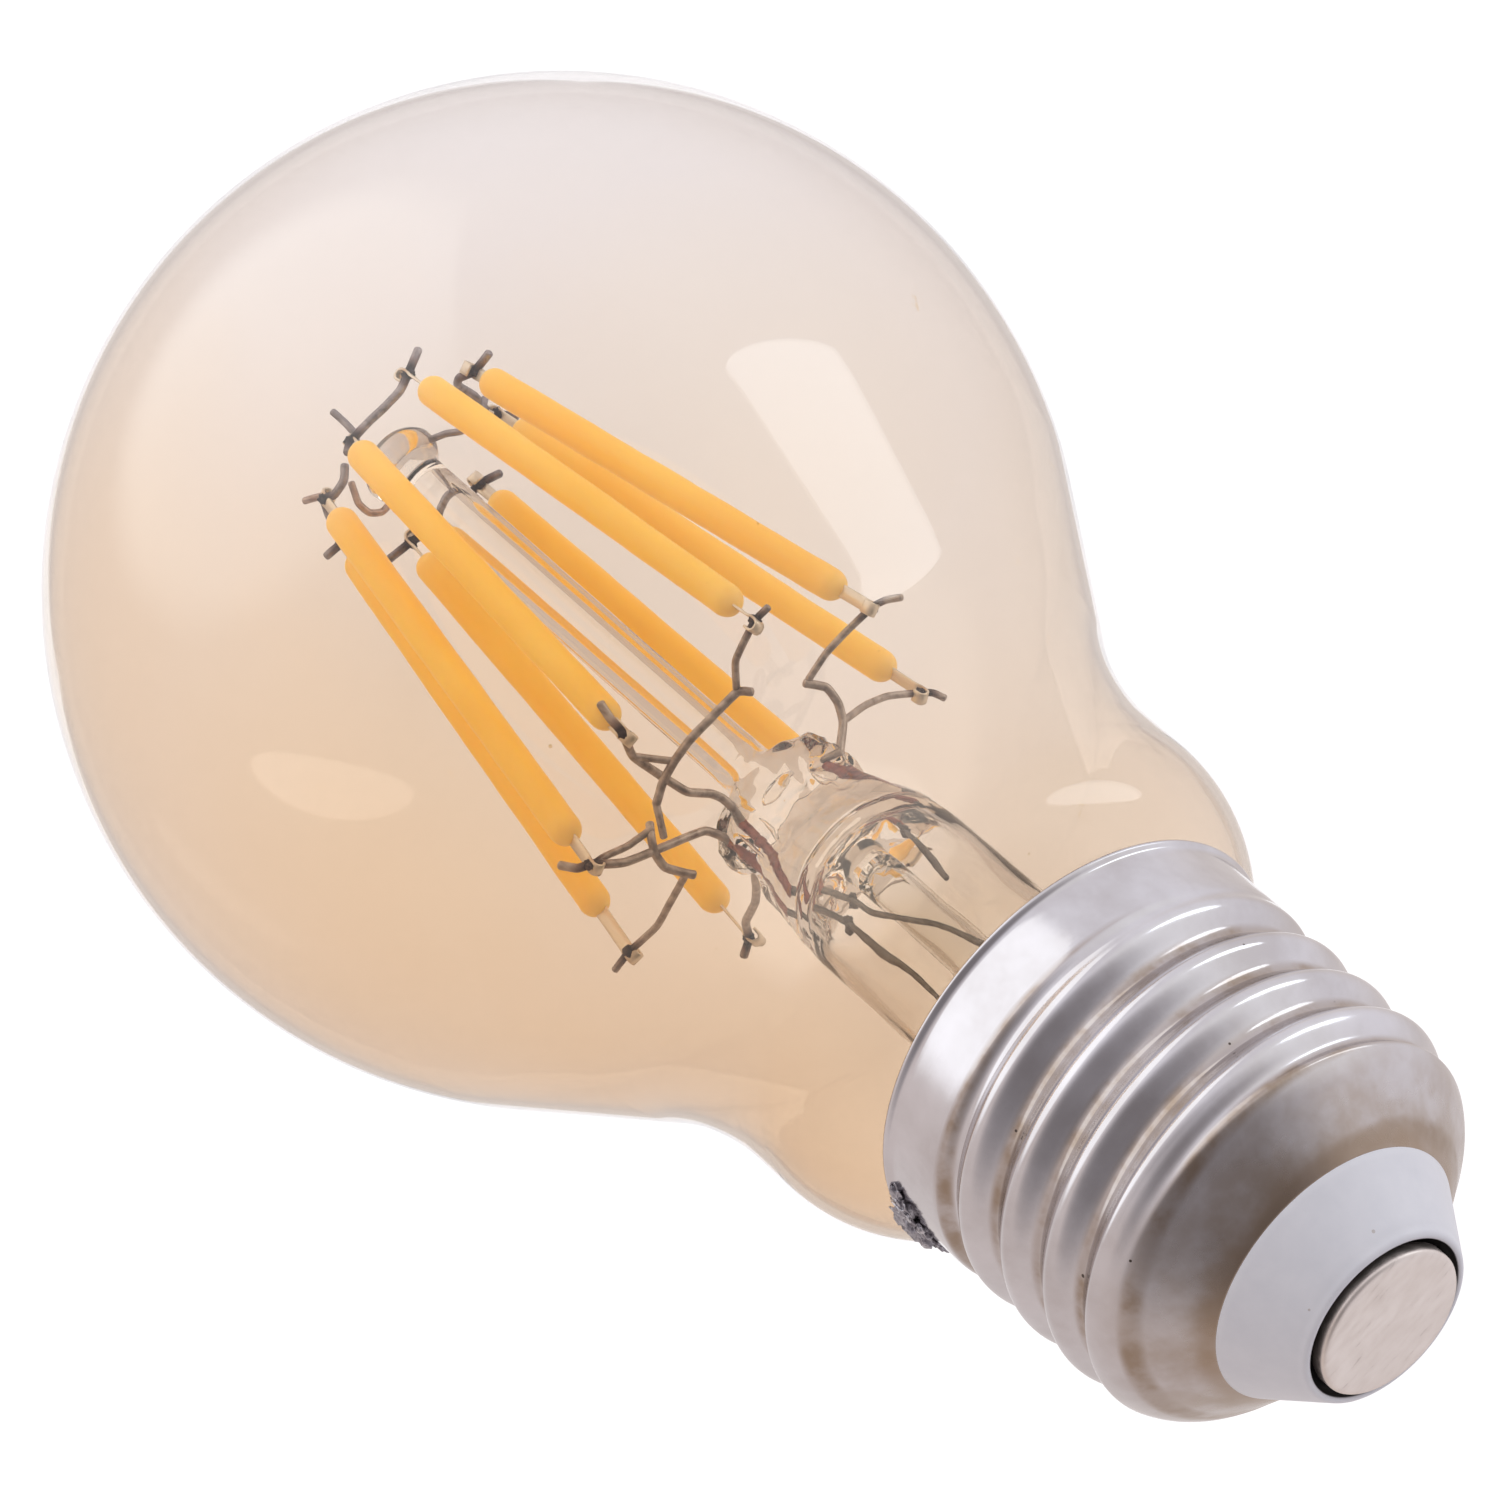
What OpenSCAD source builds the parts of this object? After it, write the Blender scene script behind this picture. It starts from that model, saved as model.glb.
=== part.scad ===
// Clear glass filament bulb with a wireless driver in its screw cap.
// Frame: millimetres. The Z axis is the bulb's axis and points from the crown to the cap.
// The origin is the centre of the end contact's face, so the bulb hangs below z = 0.

/* [Glass] */
// Overall length, crown to end contact
bulb_length = 104; // [103:0.5:106]
// Radius of the round head
head_r = 30; // [29.5:0.25:30.5]
// Half angle of the cone between head and neck
shoulder_angle = 30.5; // [29:0.5:32]
// Radius of the hollow curve between cone and neck
blend_r = 21; // [18:0.5:22]
// Radius of the neck
neck_r = 16.35; // [16:0.05:16.6]
// Radius of the curve that tucks the neck into the cap
tuck_r = 9; // [8.5:0.25:9.5]
// Wall of the envelope and of the stem tube
glass_wall = 0.8; // [0.6:0.05:0.9]

/* [Cap] */
// Cap height, rim to contact face
cap_h = 27; // [26.5:0.25:27.5]
// Thread pitch
thread_pitch = 3.629; // [3.6:0.01:3.65]
// Radius over the thread crests
crest_r = 13.05; // [13.03:0.01:13.1]
// Radius in the thread roots
root_r = 12.05; // [12:0.01:12.1]
// Radius of the plain collar
collar_r = 13.1; // [13.1:0.01:13.15]
// Sheet thickness of the screw shell
sheet = 0.25; // [0.2:0.05:0.3]
// Radius of the insulator where it leaves the shell
insulator_r = 8.2; // [8:0.05:8.25]
// Radius of the end contact
contact_r = 4.7; // [4.5:0.05:4.8]

/* [Stem] */
// Radius of the stem tube
stem_r = 5.6; // [5.4:0.1:5.8]
// Radius of the centre rod
rod_r = 1.65; // [1.5:0.05:1.75]
// Sideways offset of the centre rod and the pinch
rod_x = 0.7; // [0.5:0.1:0.9]
// Radius of the exhaust tube
exhaust_r = 1.4; // [1.3:0.05:1.5]

/* [Filaments] */
// Diameter of a filament's phosphor coating
coat_d = 1.9; // [1.8:0.05:2]
// Length of a filament's phosphor coating
coat_length = 30.5; // [30:0.1:31]
// Width of the metal strip inside a filament
strip_w = 0.8; // [0.7:0.05:0.85]
// Thickness of that strip
strip_t = 0.2; // [0.15:0.05:0.25]
// Bare strip beyond each end of the coating
tab_length = 3; // [2.5:0.1:3.2]
// Radius of the ring of crown-end filament tips
crown_ring_r = 6.7; // [6.5:0.1:6.9]
// Radius of the ring of cap-end filament tips
cap_ring_r = 11.3; // [11.1:0.1:11.5]

/* [Wires] */
// Diameter of the support and lead wires in the gas space
wire_d = 0.5; // [0.45:0.05:0.55]
// Diameter of the wires outside the seal
outer_wire_d = 0.4; // [0.35:0.05:0.45]

/* [Driver] */
// Radius of the round driver board
board_r = 10.4; // [10.2:0.1:10.5]
// Thickness of the driver board
board_t = 1; // [0.8:0.1:1.2]

/* [Hidden] */

$fn = 64;

// Heights of the glass
head_z = head_r - bulb_length;
neck_end_z = -34.3;
tuck_turn = 57;
tail_r = 12.3;
seam_z = -23;
rim_z = -cap_h;

// Heights of the cap
collar_end_z = -22.6;
shoulder_z = -10.85;
thread_end_z = -8.05;
shoulder_curve = 4.3;
shoulder_turn = 55;
shoulder_end_z = shoulder_z + shoulder_curve * sin(shoulder_turn);
shoulder_end_r = crest_r - shoulder_curve * (1 - cos(shoulder_turn));
run_in = 1.2;
run_in_r = collar_r - 0.08;
shell_top_z = -4.75;
mean_r = (crest_r + root_r) / 2;
throw = (crest_r - root_r) / 2;
crest_start_z = -21.94;

// Heights of the stem
press_z = -53;
press_r = 2.3;
press_half = 2.1;
throat_z = -48;
tube_z = -46;
flare_z = -33;
button_z = -89;
button_r = 2.5;
button_half = 1.05;

// The ring of filaments: angle of each, and the turn of its strip about its own length
filament_angles = [195, 147, 236, 103, 285, 53, 325, 1];
strip_turns = [0, 75, 40, 60, 10, 30, 70, 0];
crown_ring_z = -86.4;
cap_ring_z = -57.9;
cap_ring_x = 0.6;

// Driver heights
board_z = -18.6;
part_z = board_z + board_t;

// Seal wires cross the pinch here: x, y
seal_points = [[-2.2, 0], [3, -1], [4.3, -1]];
seal_low_z = -52.5;
seal_high_z = -46;
seal_d = 0.6;

// Crown-end supports, from the button outwards
crown_supports = [
  [[-1.2, -0.3, -88.8], [-2.2, -0.4, -88.3], [-3.2, -0.3, -87.3], [-4.6, 0.4, -87.6], [-5.9, 1, -88.5]],
  [[1.2, -1.2, -89], [1.6, -2.6, -88.9], [1.7, -4.4, -88.6], [1.4, -5.8, -88.2]],
  [[1.8, -0.4, -88.6], [2.6, -0.8, -87.4], [3.3, -1.3, -86.7], [4, -2, -87], [4, -2.6, -87.5],
   [3.4, -3, -88.2]],
  [[1, 1.2, -88.8], [1.6, 2.6, -88.6], [2.1, 4, -88.6], [2.4, 5.3, -88.6]]
];

// Cross wires that join two filament tabs at the crown end, with their free ends
crown_bars = [
  [[-7.6, -2.2, -88], [-6.4, -1.9, -88.3], [-5.7, -1, -88.7], [-5.5, 1, -88.9], [-5.3, 3.2, -88.9],
   [-5.9, 4.2, -88.1]],
  [[-5, -5, -89.9], [-3.9, -5.3, -89.1], [-2.6, -5.6, -88.4], [0, -6.1, -88.3], [1.2, -6.3, -87.9]],
  [[3, -4, -88.8], [3.8, -4.1, -88.2], [4.8, -3.9, -88.2], [6, -2.6, -88.5], [6.4, -0.6, -88.6],
   [7.6, 0, -88.8]],
  [[-2.6, 6.8, -88.5], [-1.3, 6.5, -88.6], [2.4, 5.6, -88.6], [4, 4.7, -88.6], [5.2, 4.6, -89]]
];

// Cap-end leads, from the pinch outwards
inner_leads = [
  [[-2.2, 0, -52.5], [-4, 0, -51.9], [-4.5, 0.3, -52.6], [-5, 0.5, -53.4], [-5.6, 0, -54.1],
   [-5.7, -0.8, -54.8], [-5.3, -1.6, -55.4]],
  [[3, -1, -52.5], [2.8, -2.3, -54], [3, -3.2, -54.3], [3.7, -4.8, -54.5], [4.1, -6.5, -55.2],
   [4.2, -9, -55.7], [3.8, -11, -55.8], [3.3, -12, -57.6]],
  [[4.3, -1, -52.5], [4.6, -1.8, -53.6], [5.2, -2.4, -53.7], [6.8, -4, -53.6], [9, -5.5, -53.8],
   [10.2, -6.5, -54.3], [11.5, -7.5, -55.7]],
  [[3.6, 0.8, -51], [4.6, 2, -51.6], [5.3, 4, -52.5], [6, 6, -53.2], [7.2, 8, -54.2], [8.8, 9.8, -54.2]]
];

// Short wires welded to each lead, each ending at a filament tab
branch_wires = [
  [
    [[-5.6, -1.9, -55.6], [-7.2, -2.2, -55.5], [-8.8, -2.5, -55.1], [-10.8, -3, -54.6], [-11.6, -3, -54],
     [-12.3, -3.2, -53.3]],
    [[-5.2, 1, -53.4], [-6.4, 2.6, -54.2], [-7.7, 4.6, -55], [-9.1, 6.4, -54.8], [-9.8, 7, -53.8]]
  ],
  [
    [[-2.8, -6.9, -54.2], [-2.2, -7.2, -54.7], [0, -7.5, -54.6], [1.6, -7.7, -54.5], [3, -7.4, -54.5],
     [4.6, -6.9, -54.5], [5.6, -6.4, -54.1], [6.5, -5.5, -53.1]],
    [[-2.3, -7.6, -54.9], [-3.6, -9, -55], [-5, -9.6, -55], [-6.2, -9.9, -55.1], [-6.8, -10.2, -54.8]],
    [[3.8, -8.6, -55.4], [3.2, -7.8, -54.9]]
  ],
  [
    [[6.6, -4.6, -54.6], [7.1, -4.8, -53.1], [7.6, -4.3, -52.7], [7.8, -3.5, -52.5], [7.4, -3, -52],
     [7, -2.5, -51.7]],
    [[6.9, -5.3, -54.2], [8.2, -5.9, -54.4], [9.4, -6.7, -54.6], [10.4, -7.2, -54.9]],
    [[7.4, -2.5, -52.2], [9, -1.5, -52.5], [10.6, -0.6, -52.8], [12.2, -0.1, -53.3], [14, 0.4, -53.7]]
  ],
  [
    [[4.6, 2.6, -51.8], [3, 5, -52.6], [0, 8.6, -53.8], [-2.7, 11.9, -54.8], [-3.4, 12.6, -54.4]]
  ]
];

// Outer leads: the first is cut off below the pinch, the others reach the driver board
outer_leads = [
  [[-2.2, 0, -46], [-2.2, 0, -44.8], [-2.2, 0, -42.6], [-2.1, -0.1, -40.5]],
  [[3, -1, -46], [3, -1, -45.2], [2.3, -1, -43.8], [1.9, -1.2, -42], [0.9, -1.8, -39.5], [-0.2, -2.2, -37],
   [-0.6, -2.4, -35], [-1, -2.8, -30], [-1.5, -4, -18.1]],
  [[4.3, -1, -46], [4.3, -1, -45.2], [3.6, -1, -44.2], [3.3, -1, -42.8], [3.2, -1.2, -39.5], [3, -1.4, -36],
   [2.6, -2, -30], [2, -4, -18.1]]
];

// Unit vector along v
function unit(v) = v / norm(v);

// Point on an arc in the profile plane: centre, radius, angle
function on_arc(c, r, a) = [c[0] + r * cos(a), c[1] + r * sin(a)];

// Direction of a path at its point i
function tangent(p, i) =
  unit((i < len(p) - 1 ? unit(p[i + 1] - p[i]) : [0, 0, 0]) + (i > 0 ? unit(p[i] - p[i - 1]) : [0, 0, 0]));

// Side direction of a ring that stands square to t
function side(t) = unit(cross(t, abs(t[2]) > 0.9 ? [1, 0, 0] : [0, 0, 1]));

// Round wire along a path, as one closed solid
module wire(path, d, sides = 8) {
  rings = [
    for (i = [0:len(path) - 1])
      let (t = tangent(path, i), u = side(t), v = cross(t, u))
        for (k = [0:sides - 1])
          path[i] + d / 2 * (cos(360 * k / sides) * u + sin(360 * k / sides) * v)
  ];
  walls = [
    for (i = [0:len(path) - 2])
      for (k = [0:sides - 1])
        let (a = i * sides + k, b = i * sides + (k + 1) % sides)
          each [[a, a + sides, b + sides], [a, b + sides, b]]
  ];
  start_cap = [[for (k = [0:sides - 1]) k]];
  end_cap = [[for (k = [sides - 1:-1:0]) (len(path) - 1) * sides + k]];
  polyhedron(points = rings, faces = concat(walls, start_cap, end_cap));
}

// Straight round pin between two points
module pin_between(a, b, d) {
  v = b - a;
  translate(a)
    rotate([0, acos(v[2] / norm(v)), atan2(v[1], v[0])])
      cylinder(d = d, h = norm(v));
}

// Points on the envelope's half outline from the crown to the cap, moved inwards by t
function glass_points(t) =
  let (
    rs = head_r - t,
    rb = blend_r + t,
    neck = neck_r - t,
    cone_top = on_arc([0, head_z], rs, shoulder_angle),
    cone_low_r = neck + rb * (1 - cos(shoulder_angle)),
    cone_low_z = cone_top[1] + (cone_top[0] - cone_low_r) / tan(shoulder_angle),
    blend_z = cone_low_z + rb * sin(shoulder_angle),
    tuck_x = neck_r - tuck_r
  )
    concat(
      [for (k = [0:26]) on_arc([0, head_z], rs, -90 + (90 + shoulder_angle) * k / 26)],
      [for (k = [0:6]) on_arc([neck + rb, blend_z], rb, 180 + shoulder_angle * (1 - k / 6))],
      [for (k = [0:6]) on_arc([tuck_x, neck_end_z], tuck_r - t, tuck_turn * k / 6)],
      [[tail_r - t, seam_z]]
    );

module glass_envelope() {
  outer = glass_points(0);
  inner = glass_points(glass_wall);
  color([0.86, 0.72, 0.55, 0.35])
    rotate_extrude($fn = 128)
      polygon(concat(outer, [for (k = [len(inner) - 1:-1:0]) inner[k]]));
}

// The flare: share of its height, radius and slope at height z
function flare_rise(z) = (z - flare_z) / (seam_z - 0.8 - flare_z);
function flare_r(z) = stem_r + (tail_r - glass_wall - stem_r) * pow(flare_rise(z), 3);
function flare_slope(z) =
  3 * (tail_r - glass_wall - stem_r) * pow(flare_rise(z), 2) / (seam_z - 0.8 - flare_z);

// Stem: pinch, tube and flare in one piece of glass
module stem_tube() {
  steps = 10;
  flare_h = seam_z - 0.8 - flare_z;
  heights = [for (i = [0:steps]) flare_z + flare_h * i / steps];
  outer = [for (z = heights) [flare_r(z), z]];
  inner = [for (i = [steps:-1:0]) let (z = heights[i])
    [flare_r(z) - glass_wall * sqrt(1 + pow(flare_slope(z), 2)), z]];
  color([0.9, 0.85, 0.78, 0.4])
    difference() {
      union() {
        hull() {
          for (x = [rod_x - press_half, rod_x + press_half])
            translate([x, 0, press_z])
              sphere(r = press_r, $fn = 28);
          for (x = [rod_x - press_half, rod_x + press_half])
            translate([x, 0, throat_z])
              cylinder(r = press_r, h = 0.5, $fn = 28);
        }
        hull() {
          for (x = [rod_x - press_half, rod_x + press_half])
            translate([x, 0, throat_z])
              cylinder(r = press_r, h = 0.5, $fn = 28);
          translate([0, 0, tube_z])
            cylinder(r = stem_r, h = 0.5, $fn = 48);
        }
        rotate_extrude($fn = 96)
          polygon(concat([[0, tube_z], [stem_r, tube_z]], outer,
            [[tail_r - glass_wall, seam_z]],
            [[tail_r - glass_wall - 0.9, seam_z]],
            inner, [[stem_r - glass_wall, tube_z + 1.2], [stem_r - 2, tube_z + 0.6], [0, tube_z + 0.6]]));
      }
      for (p = seal_points)
        translate([p[0], p[1], seal_low_z - 0.3])
          cylinder(d = seal_d, h = 12);
      for (path = inner_leads)
        pin_between(path[0], path[1] + (path[1] - path[0]) * 2, wire_d + 0.04);
      translate([0, 0, tube_z - 1])
        cylinder(r = exhaust_r, h = 4);
      translate([rod_x, 0, press_z - press_r - 1])
        cylinder(r = rod_r, h = 3);
    }
}

module exhaust_tube() {
  tip_z = -20.6;
  color([0.9, 0.88, 0.84, 0.4])
    difference() {
      union() {
        translate([0, 0, tube_z - 1])
          cylinder(r = exhaust_r, h = tip_z - tube_z + 1);
        translate([0, 0, tip_z])
          sphere(r = exhaust_r);
      }
      translate([0, 0, tube_z - 2])
        cylinder(r = exhaust_r - 0.5, h = tip_z - tube_z + 1.4);
    }
}

// Centre rod with the flat round button at its crown end
module centre_rod() {
  rod_low_z = button_z + button_half / 2;
  color([0.9, 0.88, 0.84, 0.4])
    difference() {
      translate([rod_x, 0, 0])
        union() {
          translate([0, 0, rod_low_z])
            cylinder(r = rod_r, h = press_z - press_r + 2 - rod_low_z);
          translate([0, 0, button_z])
            rotate_extrude() {
              translate([button_r - button_half, 0])
                intersection() {
                  circle(r = button_half);
                  translate([-0.5, -button_half])
                    square([2 * button_half, 2 * button_half]);
                }
              translate([0, -button_half])
                square([button_r - button_half, 2 * button_half]);
            }
        }
      for (path = crown_supports)
        pin_between(path[0], path[1] + (path[1] - path[0]) * 2, wire_d + 0.04);
    }
}

// Tip centres of filament i, at the crown end and at the cap end
function crown_tip(i) = on_arc([0, 0], crown_ring_r, filament_angles[i - 1]);
function cap_tip(i) = on_arc([cap_ring_x, 0], cap_ring_r, filament_angles[i - 1]);

// Places its children on filament i, with Z along the filament from its crown-end tip
module on_filament(i) {
  low = concat(crown_tip(i), [crown_ring_z]);
  v = concat(cap_tip(i), [cap_ring_z]) - low;
  translate(low)
    rotate([0, acos(v[2] / norm(v)), atan2(v[1], v[0])])
      translate([0, 0, norm(v) / 2 - coat_length / 2])
        children();
}

module strip(i) {
  rotate([0, 0, strip_turns[i - 1]])
    translate([-strip_w / 2, -strip_t / 2, -tab_length])
      cube([strip_w, strip_t, coat_length + 2 * tab_length]);
}

module filament(i) {
  color([0.98, 0.7, 0.2])
    on_filament(i)
      difference() {
        union() {
          translate([0, 0, coat_d / 2])
            cylinder(d = coat_d, h = coat_length - coat_d, $fn = 32);
          for (z = [coat_d / 2, coat_length - coat_d / 2])
            translate([0, 0, z])
              sphere(d = coat_d, $fn = 32);
        }
        strip(i);
      }
}

module filament_strip(i) {
  color([0.93, 0.86, 0.72])
    on_filament(i)
      strip(i);
}

module crown_support(i) {
  color([0.42, 0.38, 0.38])
    wire(crown_supports[i - 1], wire_d);
}

module crown_bar(i) {
  color([0.42, 0.38, 0.38])
    wire(crown_bars[i - 1], wire_d);
}

module inner_lead(i) {
  color([0.5, 0.45, 0.43])
    wire(inner_leads[i - 1], wire_d);
}

module branch_group(i) {
  color([0.5, 0.45, 0.43])
    for (path = branch_wires[i - 1])
      wire(path, wire_d);
}

module seal_wire(i) {
  p = seal_points[i - 1];
  color([0.62, 0.34, 0.28])
    translate([p[0], p[1], seal_low_z])
      cylinder(d = seal_d, h = seal_high_z - seal_low_z);
}

// Outer lead with the small weld knot below the pinch
module outer_lead(i) {
  path = outer_leads[i - 1];
  color([0.3, 0.28, 0.28]) {
    wire(path, outer_wire_d);
    translate(path[len(path) > 7 ? 2 : 1])
      sphere(d = outer_wire_d * 1.7, $fn = 16);
  }
}

// Direction of the thread's crest at height z
function crest_angle(z) = 180 + 360 * (z - crest_start_z) / thread_pitch;
function thread_radius(a, z) = mean_r + throw * cos(a - crest_angle(z));

// Radius of the rounded shoulder that trims the thread
function shoulder_radius(z) =
  z < shoulder_z ? crest_r :
  z < shoulder_end_z ? crest_r - shoulder_curve + sqrt(pow(shoulder_curve, 2) - pow(z - shoulder_z, 2)) :
  insulator_r + (shoulder_end_r - insulator_r) * (shell_top_z - z) / (shell_top_z - shoulder_end_z);

// Outer radius of the shell, running from the collar into the thread and on to the shoulder
function shell_radius(a, z) =
  let (w = min(1, max(0, (z - collar_end_z) / run_in)))
    min(run_in_r * (1 - w) + thread_radius(a, z) * w, shoulder_radius(z));

// Rolled sheet from the collar to the insulator, as one closed solid
module threaded_sheet(sides = 32) {
  step = thread_pitch / 10;
  turns = [for (z = [collar_end_z + step:step:thread_end_z]) z];
  crown = [for (k = [0:4]) thread_end_z + 0.2 + (shoulder_end_z - thread_end_z - 0.2) * k / 4];
  high = concat(turns, crown, [shell_top_z]);
  foot = [collar_end_z - 0.3, collar_end_z];
  outer = concat([for (z = foot) [z, 0]], [for (z = high) [z, 0]]);
  inner = concat([for (k = [len(high) - 1:-1:0]) [high[k], sheet]], [[foot[1], 0.1], [foot[0], 0.1]]);
  rows = concat(outer, inner);
  count = len(rows);
  points = [
    for (row = rows)
      for (k = [0:sides - 1])
        let (a = 360 * k / sides, r = shell_radius(a, row[0]) - row[1])
          [r * cos(a), r * sin(a), row[0]]
  ];
  faces = [
    for (i = [0:count - 1])
      for (k = [0:sides - 1])
        let (a = i * sides + k, b = i * sides + (k + 1) % sides, up = ((i + 1) % count - i) * sides)
          each [[a, a + up, b + up], [a, b + up, b]]
  ];
  polyhedron(points = points, faces = faces);
}

module screw_shell() {
  color([0.72, 0.7, 0.72])
    union() {
      difference() {
        rotate_extrude($fn = 96)
          polygon([
            [collar_r - sheet, rim_z], [collar_r + 0.3, rim_z], [collar_r + 0.3, rim_z + 0.3],
            [collar_r, rim_z + 0.3], [collar_r, collar_end_z], [collar_r - sheet, collar_end_z]
          ]);
        translate([collar_r - 1, -0.25, rim_z - 1])
          cube([2, 0.5, 1.5]);
      }
      threaded_sheet();
    }
}

module cap_insulator() {
  color([0.8, 0.78, 0.84])
    rotate_extrude($fn = 96)
      polygon([
        [1.1, -1.3], [contact_r + 0.25, -1.3], [contact_r + 0.25, -0.5], [5.3, -0.5], [5.6, -0.8],
        [insulator_r, -4.7], [insulator_r, -5.3], [9, -5.5], [9, -6.5], [7, -6.5], [4.6, -2.9], [1.1, -2.9]
      ]);
}

module end_contact() {
  color([0.66, 0.6, 0.58]) {
    rotate_extrude($fn = 96)
      polygon([[0, 0], [contact_r - 0.25, 0], [contact_r, -0.2], [contact_r, -0.6], [0, -0.6]]);
    translate([0, 0, -3.6])
      cylinder(r = 1.05, h = 3.2);
  }
}

// Solder that fixes the folded wire to the rim
module rim_solder() {
  color([0.55, 0.53, 0.56])
    hull() {
      for (a = [-8, 8])
        rotate([0, 0, a])
          translate([collar_r + 0.55, 0, rim_z + 0.9])
            sphere(r = 0.5, $fn = 16);
      rotate([0, 0, 2])
        translate([collar_r + 0.5, 0, rim_z + 2])
          sphere(r = 0.4, $fn = 16);
    }
}

module cap_cement() {
  color([0.85, 0.82, 0.76])
    difference() {
      translate([0, 0, rim_z + 0.4])
        cylinder(r = collar_r - sheet, h = 3.4);
      translate([0, 0, rim_z])
        cylinder(r = tail_r, h = 5);
      translate([tail_r - 0.5, -0.35, rim_z])
        cube([2, 0.7, 5]);
    }
}

module driver_board() {
  color([0.12, 0.36, 0.2])
    translate([0, 0, board_z])
      difference() {
        cylinder(r = board_r, h = board_t);
        translate([0, 0, -1])
          cylinder(r = exhaust_r + 0.6, h = 3);
        for (path = outer_leads, end = [path[len(path) - 1]])
          if (end[2] > rim_z)
            translate([end[0], end[1], -1])
              cylinder(r = 0.35, h = 3, $fn = 24);
      }
}

// Small upright board of the wireless module, with its printed aerial
module wireless_module() {
  aerial_x = -5.2;
  aerial_step = 2.6;
  color([0.1, 0.2, 0.32])
    translate([-6, 4.4, part_z])
      cube([12, 0.8, 9]);
  color([0.85, 0.65, 0.3]) {
    for (k = [0:3])
      translate([aerial_x + aerial_step * k, 5.2, part_z + 7])
        cube([2, 0.06, 0.3]);
    for (k = [0:2])
      translate([aerial_x + 1.7 + aerial_step * k, 5.2, part_z + 7.3])
        cube([0.3, 0.06, 1.2]);
  }
}

module module_shield() {
  color([0.75, 0.75, 0.77])
    translate([-4, 2.8, part_z + 0.6])
      difference() {
        cube([8, 1.6, 5.8]);
        translate([0.2, 0.2, 0.2])
          cube([7.6, 1.6, 5.4]);
      }
}

module bulk_capacitor() {
  d = 6.3;
  h = 8;
  color([0.15, 0.2, 0.3])
    translate([-5.4, -3.4, part_z])
      rotate_extrude()
        polygon([
          [0, 0], [d / 2, 0], [d / 2, 1], [d / 2 - 0.25, 1.2],
          [d / 2, 1.4], [d / 2, h - 0.3], [d / 2 - 0.3, h], [0, h]
        ]);
}

module film_capacitor() {
  color([0.75, 0.55, 0.15])
    translate([3.2, -7.6, part_z])
      cube([5, 3, 5.6]);
}

module choke_coil() {
  color([0.2, 0.2, 0.22])
    translate([7, 0.2, part_z])
      rotate_extrude()
        polygon([[0, 0], [2.6, 0], [2.6, 0.8], [2.1, 0.9], [2.1, 4.1], [2.6, 4.2], [2.6, 5], [0, 5]]);
}

module bridge_rectifier() {
  color([0.12, 0.12, 0.13])
    translate([-1.6, -8.8, part_z + 0.1])
      cube([4, 3.6, 1.5]);
  color([0.75, 0.75, 0.75])
    for (x = [-1.2, 1.4], y = [-9.6, -5.2])
      translate([x, y, part_z])
        cube([0.6, 0.8, 0.3]);
}

// Pair of current regulator chips
module driver_chips() {
  for (x = [-6.6, 2.6]) {
    color([0.1, 0.1, 0.11])
      translate([x, 5.6, part_z + 0.1])
        cube([4, 1.8, 1.4]);
    color([0.75, 0.75, 0.75])
      for (k = [0:2])
        translate([x + 0.4 + 1.3 * k, 7.4, part_z])
          cube([0.5, 0.6, 0.3]);
  }
}

// Fuse resistor in line with the end contact
module fuse_resistor() {
  color([0.35, 0.55, 0.6])
    translate([0, 0, -14.2])
      rotate_extrude()
        polygon([
          [0, 0], [1, 0], [1.25, 0.4], [1.25, 1.2], [1.1, 1.6],
          [1.1, 4.4], [1.25, 4.8], [1.25, 5.6], [1, 6], [0, 6]
        ]);
}

module contact_wire() {
  color([0.6, 0.58, 0.56]) {
    translate([0, 0, -8.2])
      cylinder(d = 0.6, h = 4.6, $fn = 24);
    wire([[0, 0, -14.2], [0, 0, -15], [-0.6, -1, -16], [-1.2, -2.6, -16.8], [-1.2, -2.8, part_z]], 0.6);
  }
}

// Wire from the board round the glass and over the rim
module shell_wire() {
  color([0.6, 0.58, 0.56])
    wire([
      [9.6, 0, board_z], [9.8, 0, board_z - 0.8], [11, 0, -21.4], [12.3, 0, -22.3], [12.56, 0, -23],
      [12.56, 0, -26.4], [12.8, 0, -26.8], [13.6, 0, -26.8]
    ], outer_wire_d);
}

module insulating_sleeve() {
  color([0.9, 0.9, 0.88])
    translate([0, 0, -21])
      difference() {
        cylinder(r = 11.2, h = 11);
        translate([0, 0, -1])
          cylinder(r = 10.7, h = 13);
        translate([8, -0.6, -1])
          cube([4, 1.2, 4]);
      }
}

glass_envelope();
stem_tube();
exhaust_tube();
centre_rod();
filament(1);  // filament_1
filament(2);  // filament_2
filament(3);  // filament_3
filament(4);  // filament_4
filament(5);  // filament_5
filament(6);  // filament_6
filament(7);  // filament_7
filament(8);  // filament_8
filament_strip(1);  // filament_strip_1
filament_strip(2);  // filament_strip_2
filament_strip(3);  // filament_strip_3
filament_strip(4);  // filament_strip_4
filament_strip(5);  // filament_strip_5
filament_strip(6);  // filament_strip_6
filament_strip(7);  // filament_strip_7
filament_strip(8);  // filament_strip_8
crown_support(1);  // crown_support_1
crown_support(2);  // crown_support_2
crown_support(3);  // crown_support_3
crown_support(4);  // crown_support_4
crown_bar(1);  // crown_bar_1
crown_bar(2);  // crown_bar_2
crown_bar(3);  // crown_bar_3
crown_bar(4);  // crown_bar_4
inner_lead(1);  // inner_lead_1
inner_lead(2);  // inner_lead_2
inner_lead(3);  // inner_lead_3
inner_lead(4);  // inner_lead_4
branch_group(1);  // branch_wires_1
branch_group(2);  // branch_wires_2
branch_group(3);  // branch_wires_3
branch_group(4);  // branch_wires_4
seal_wire(1);  // seal_wire_1
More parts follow.
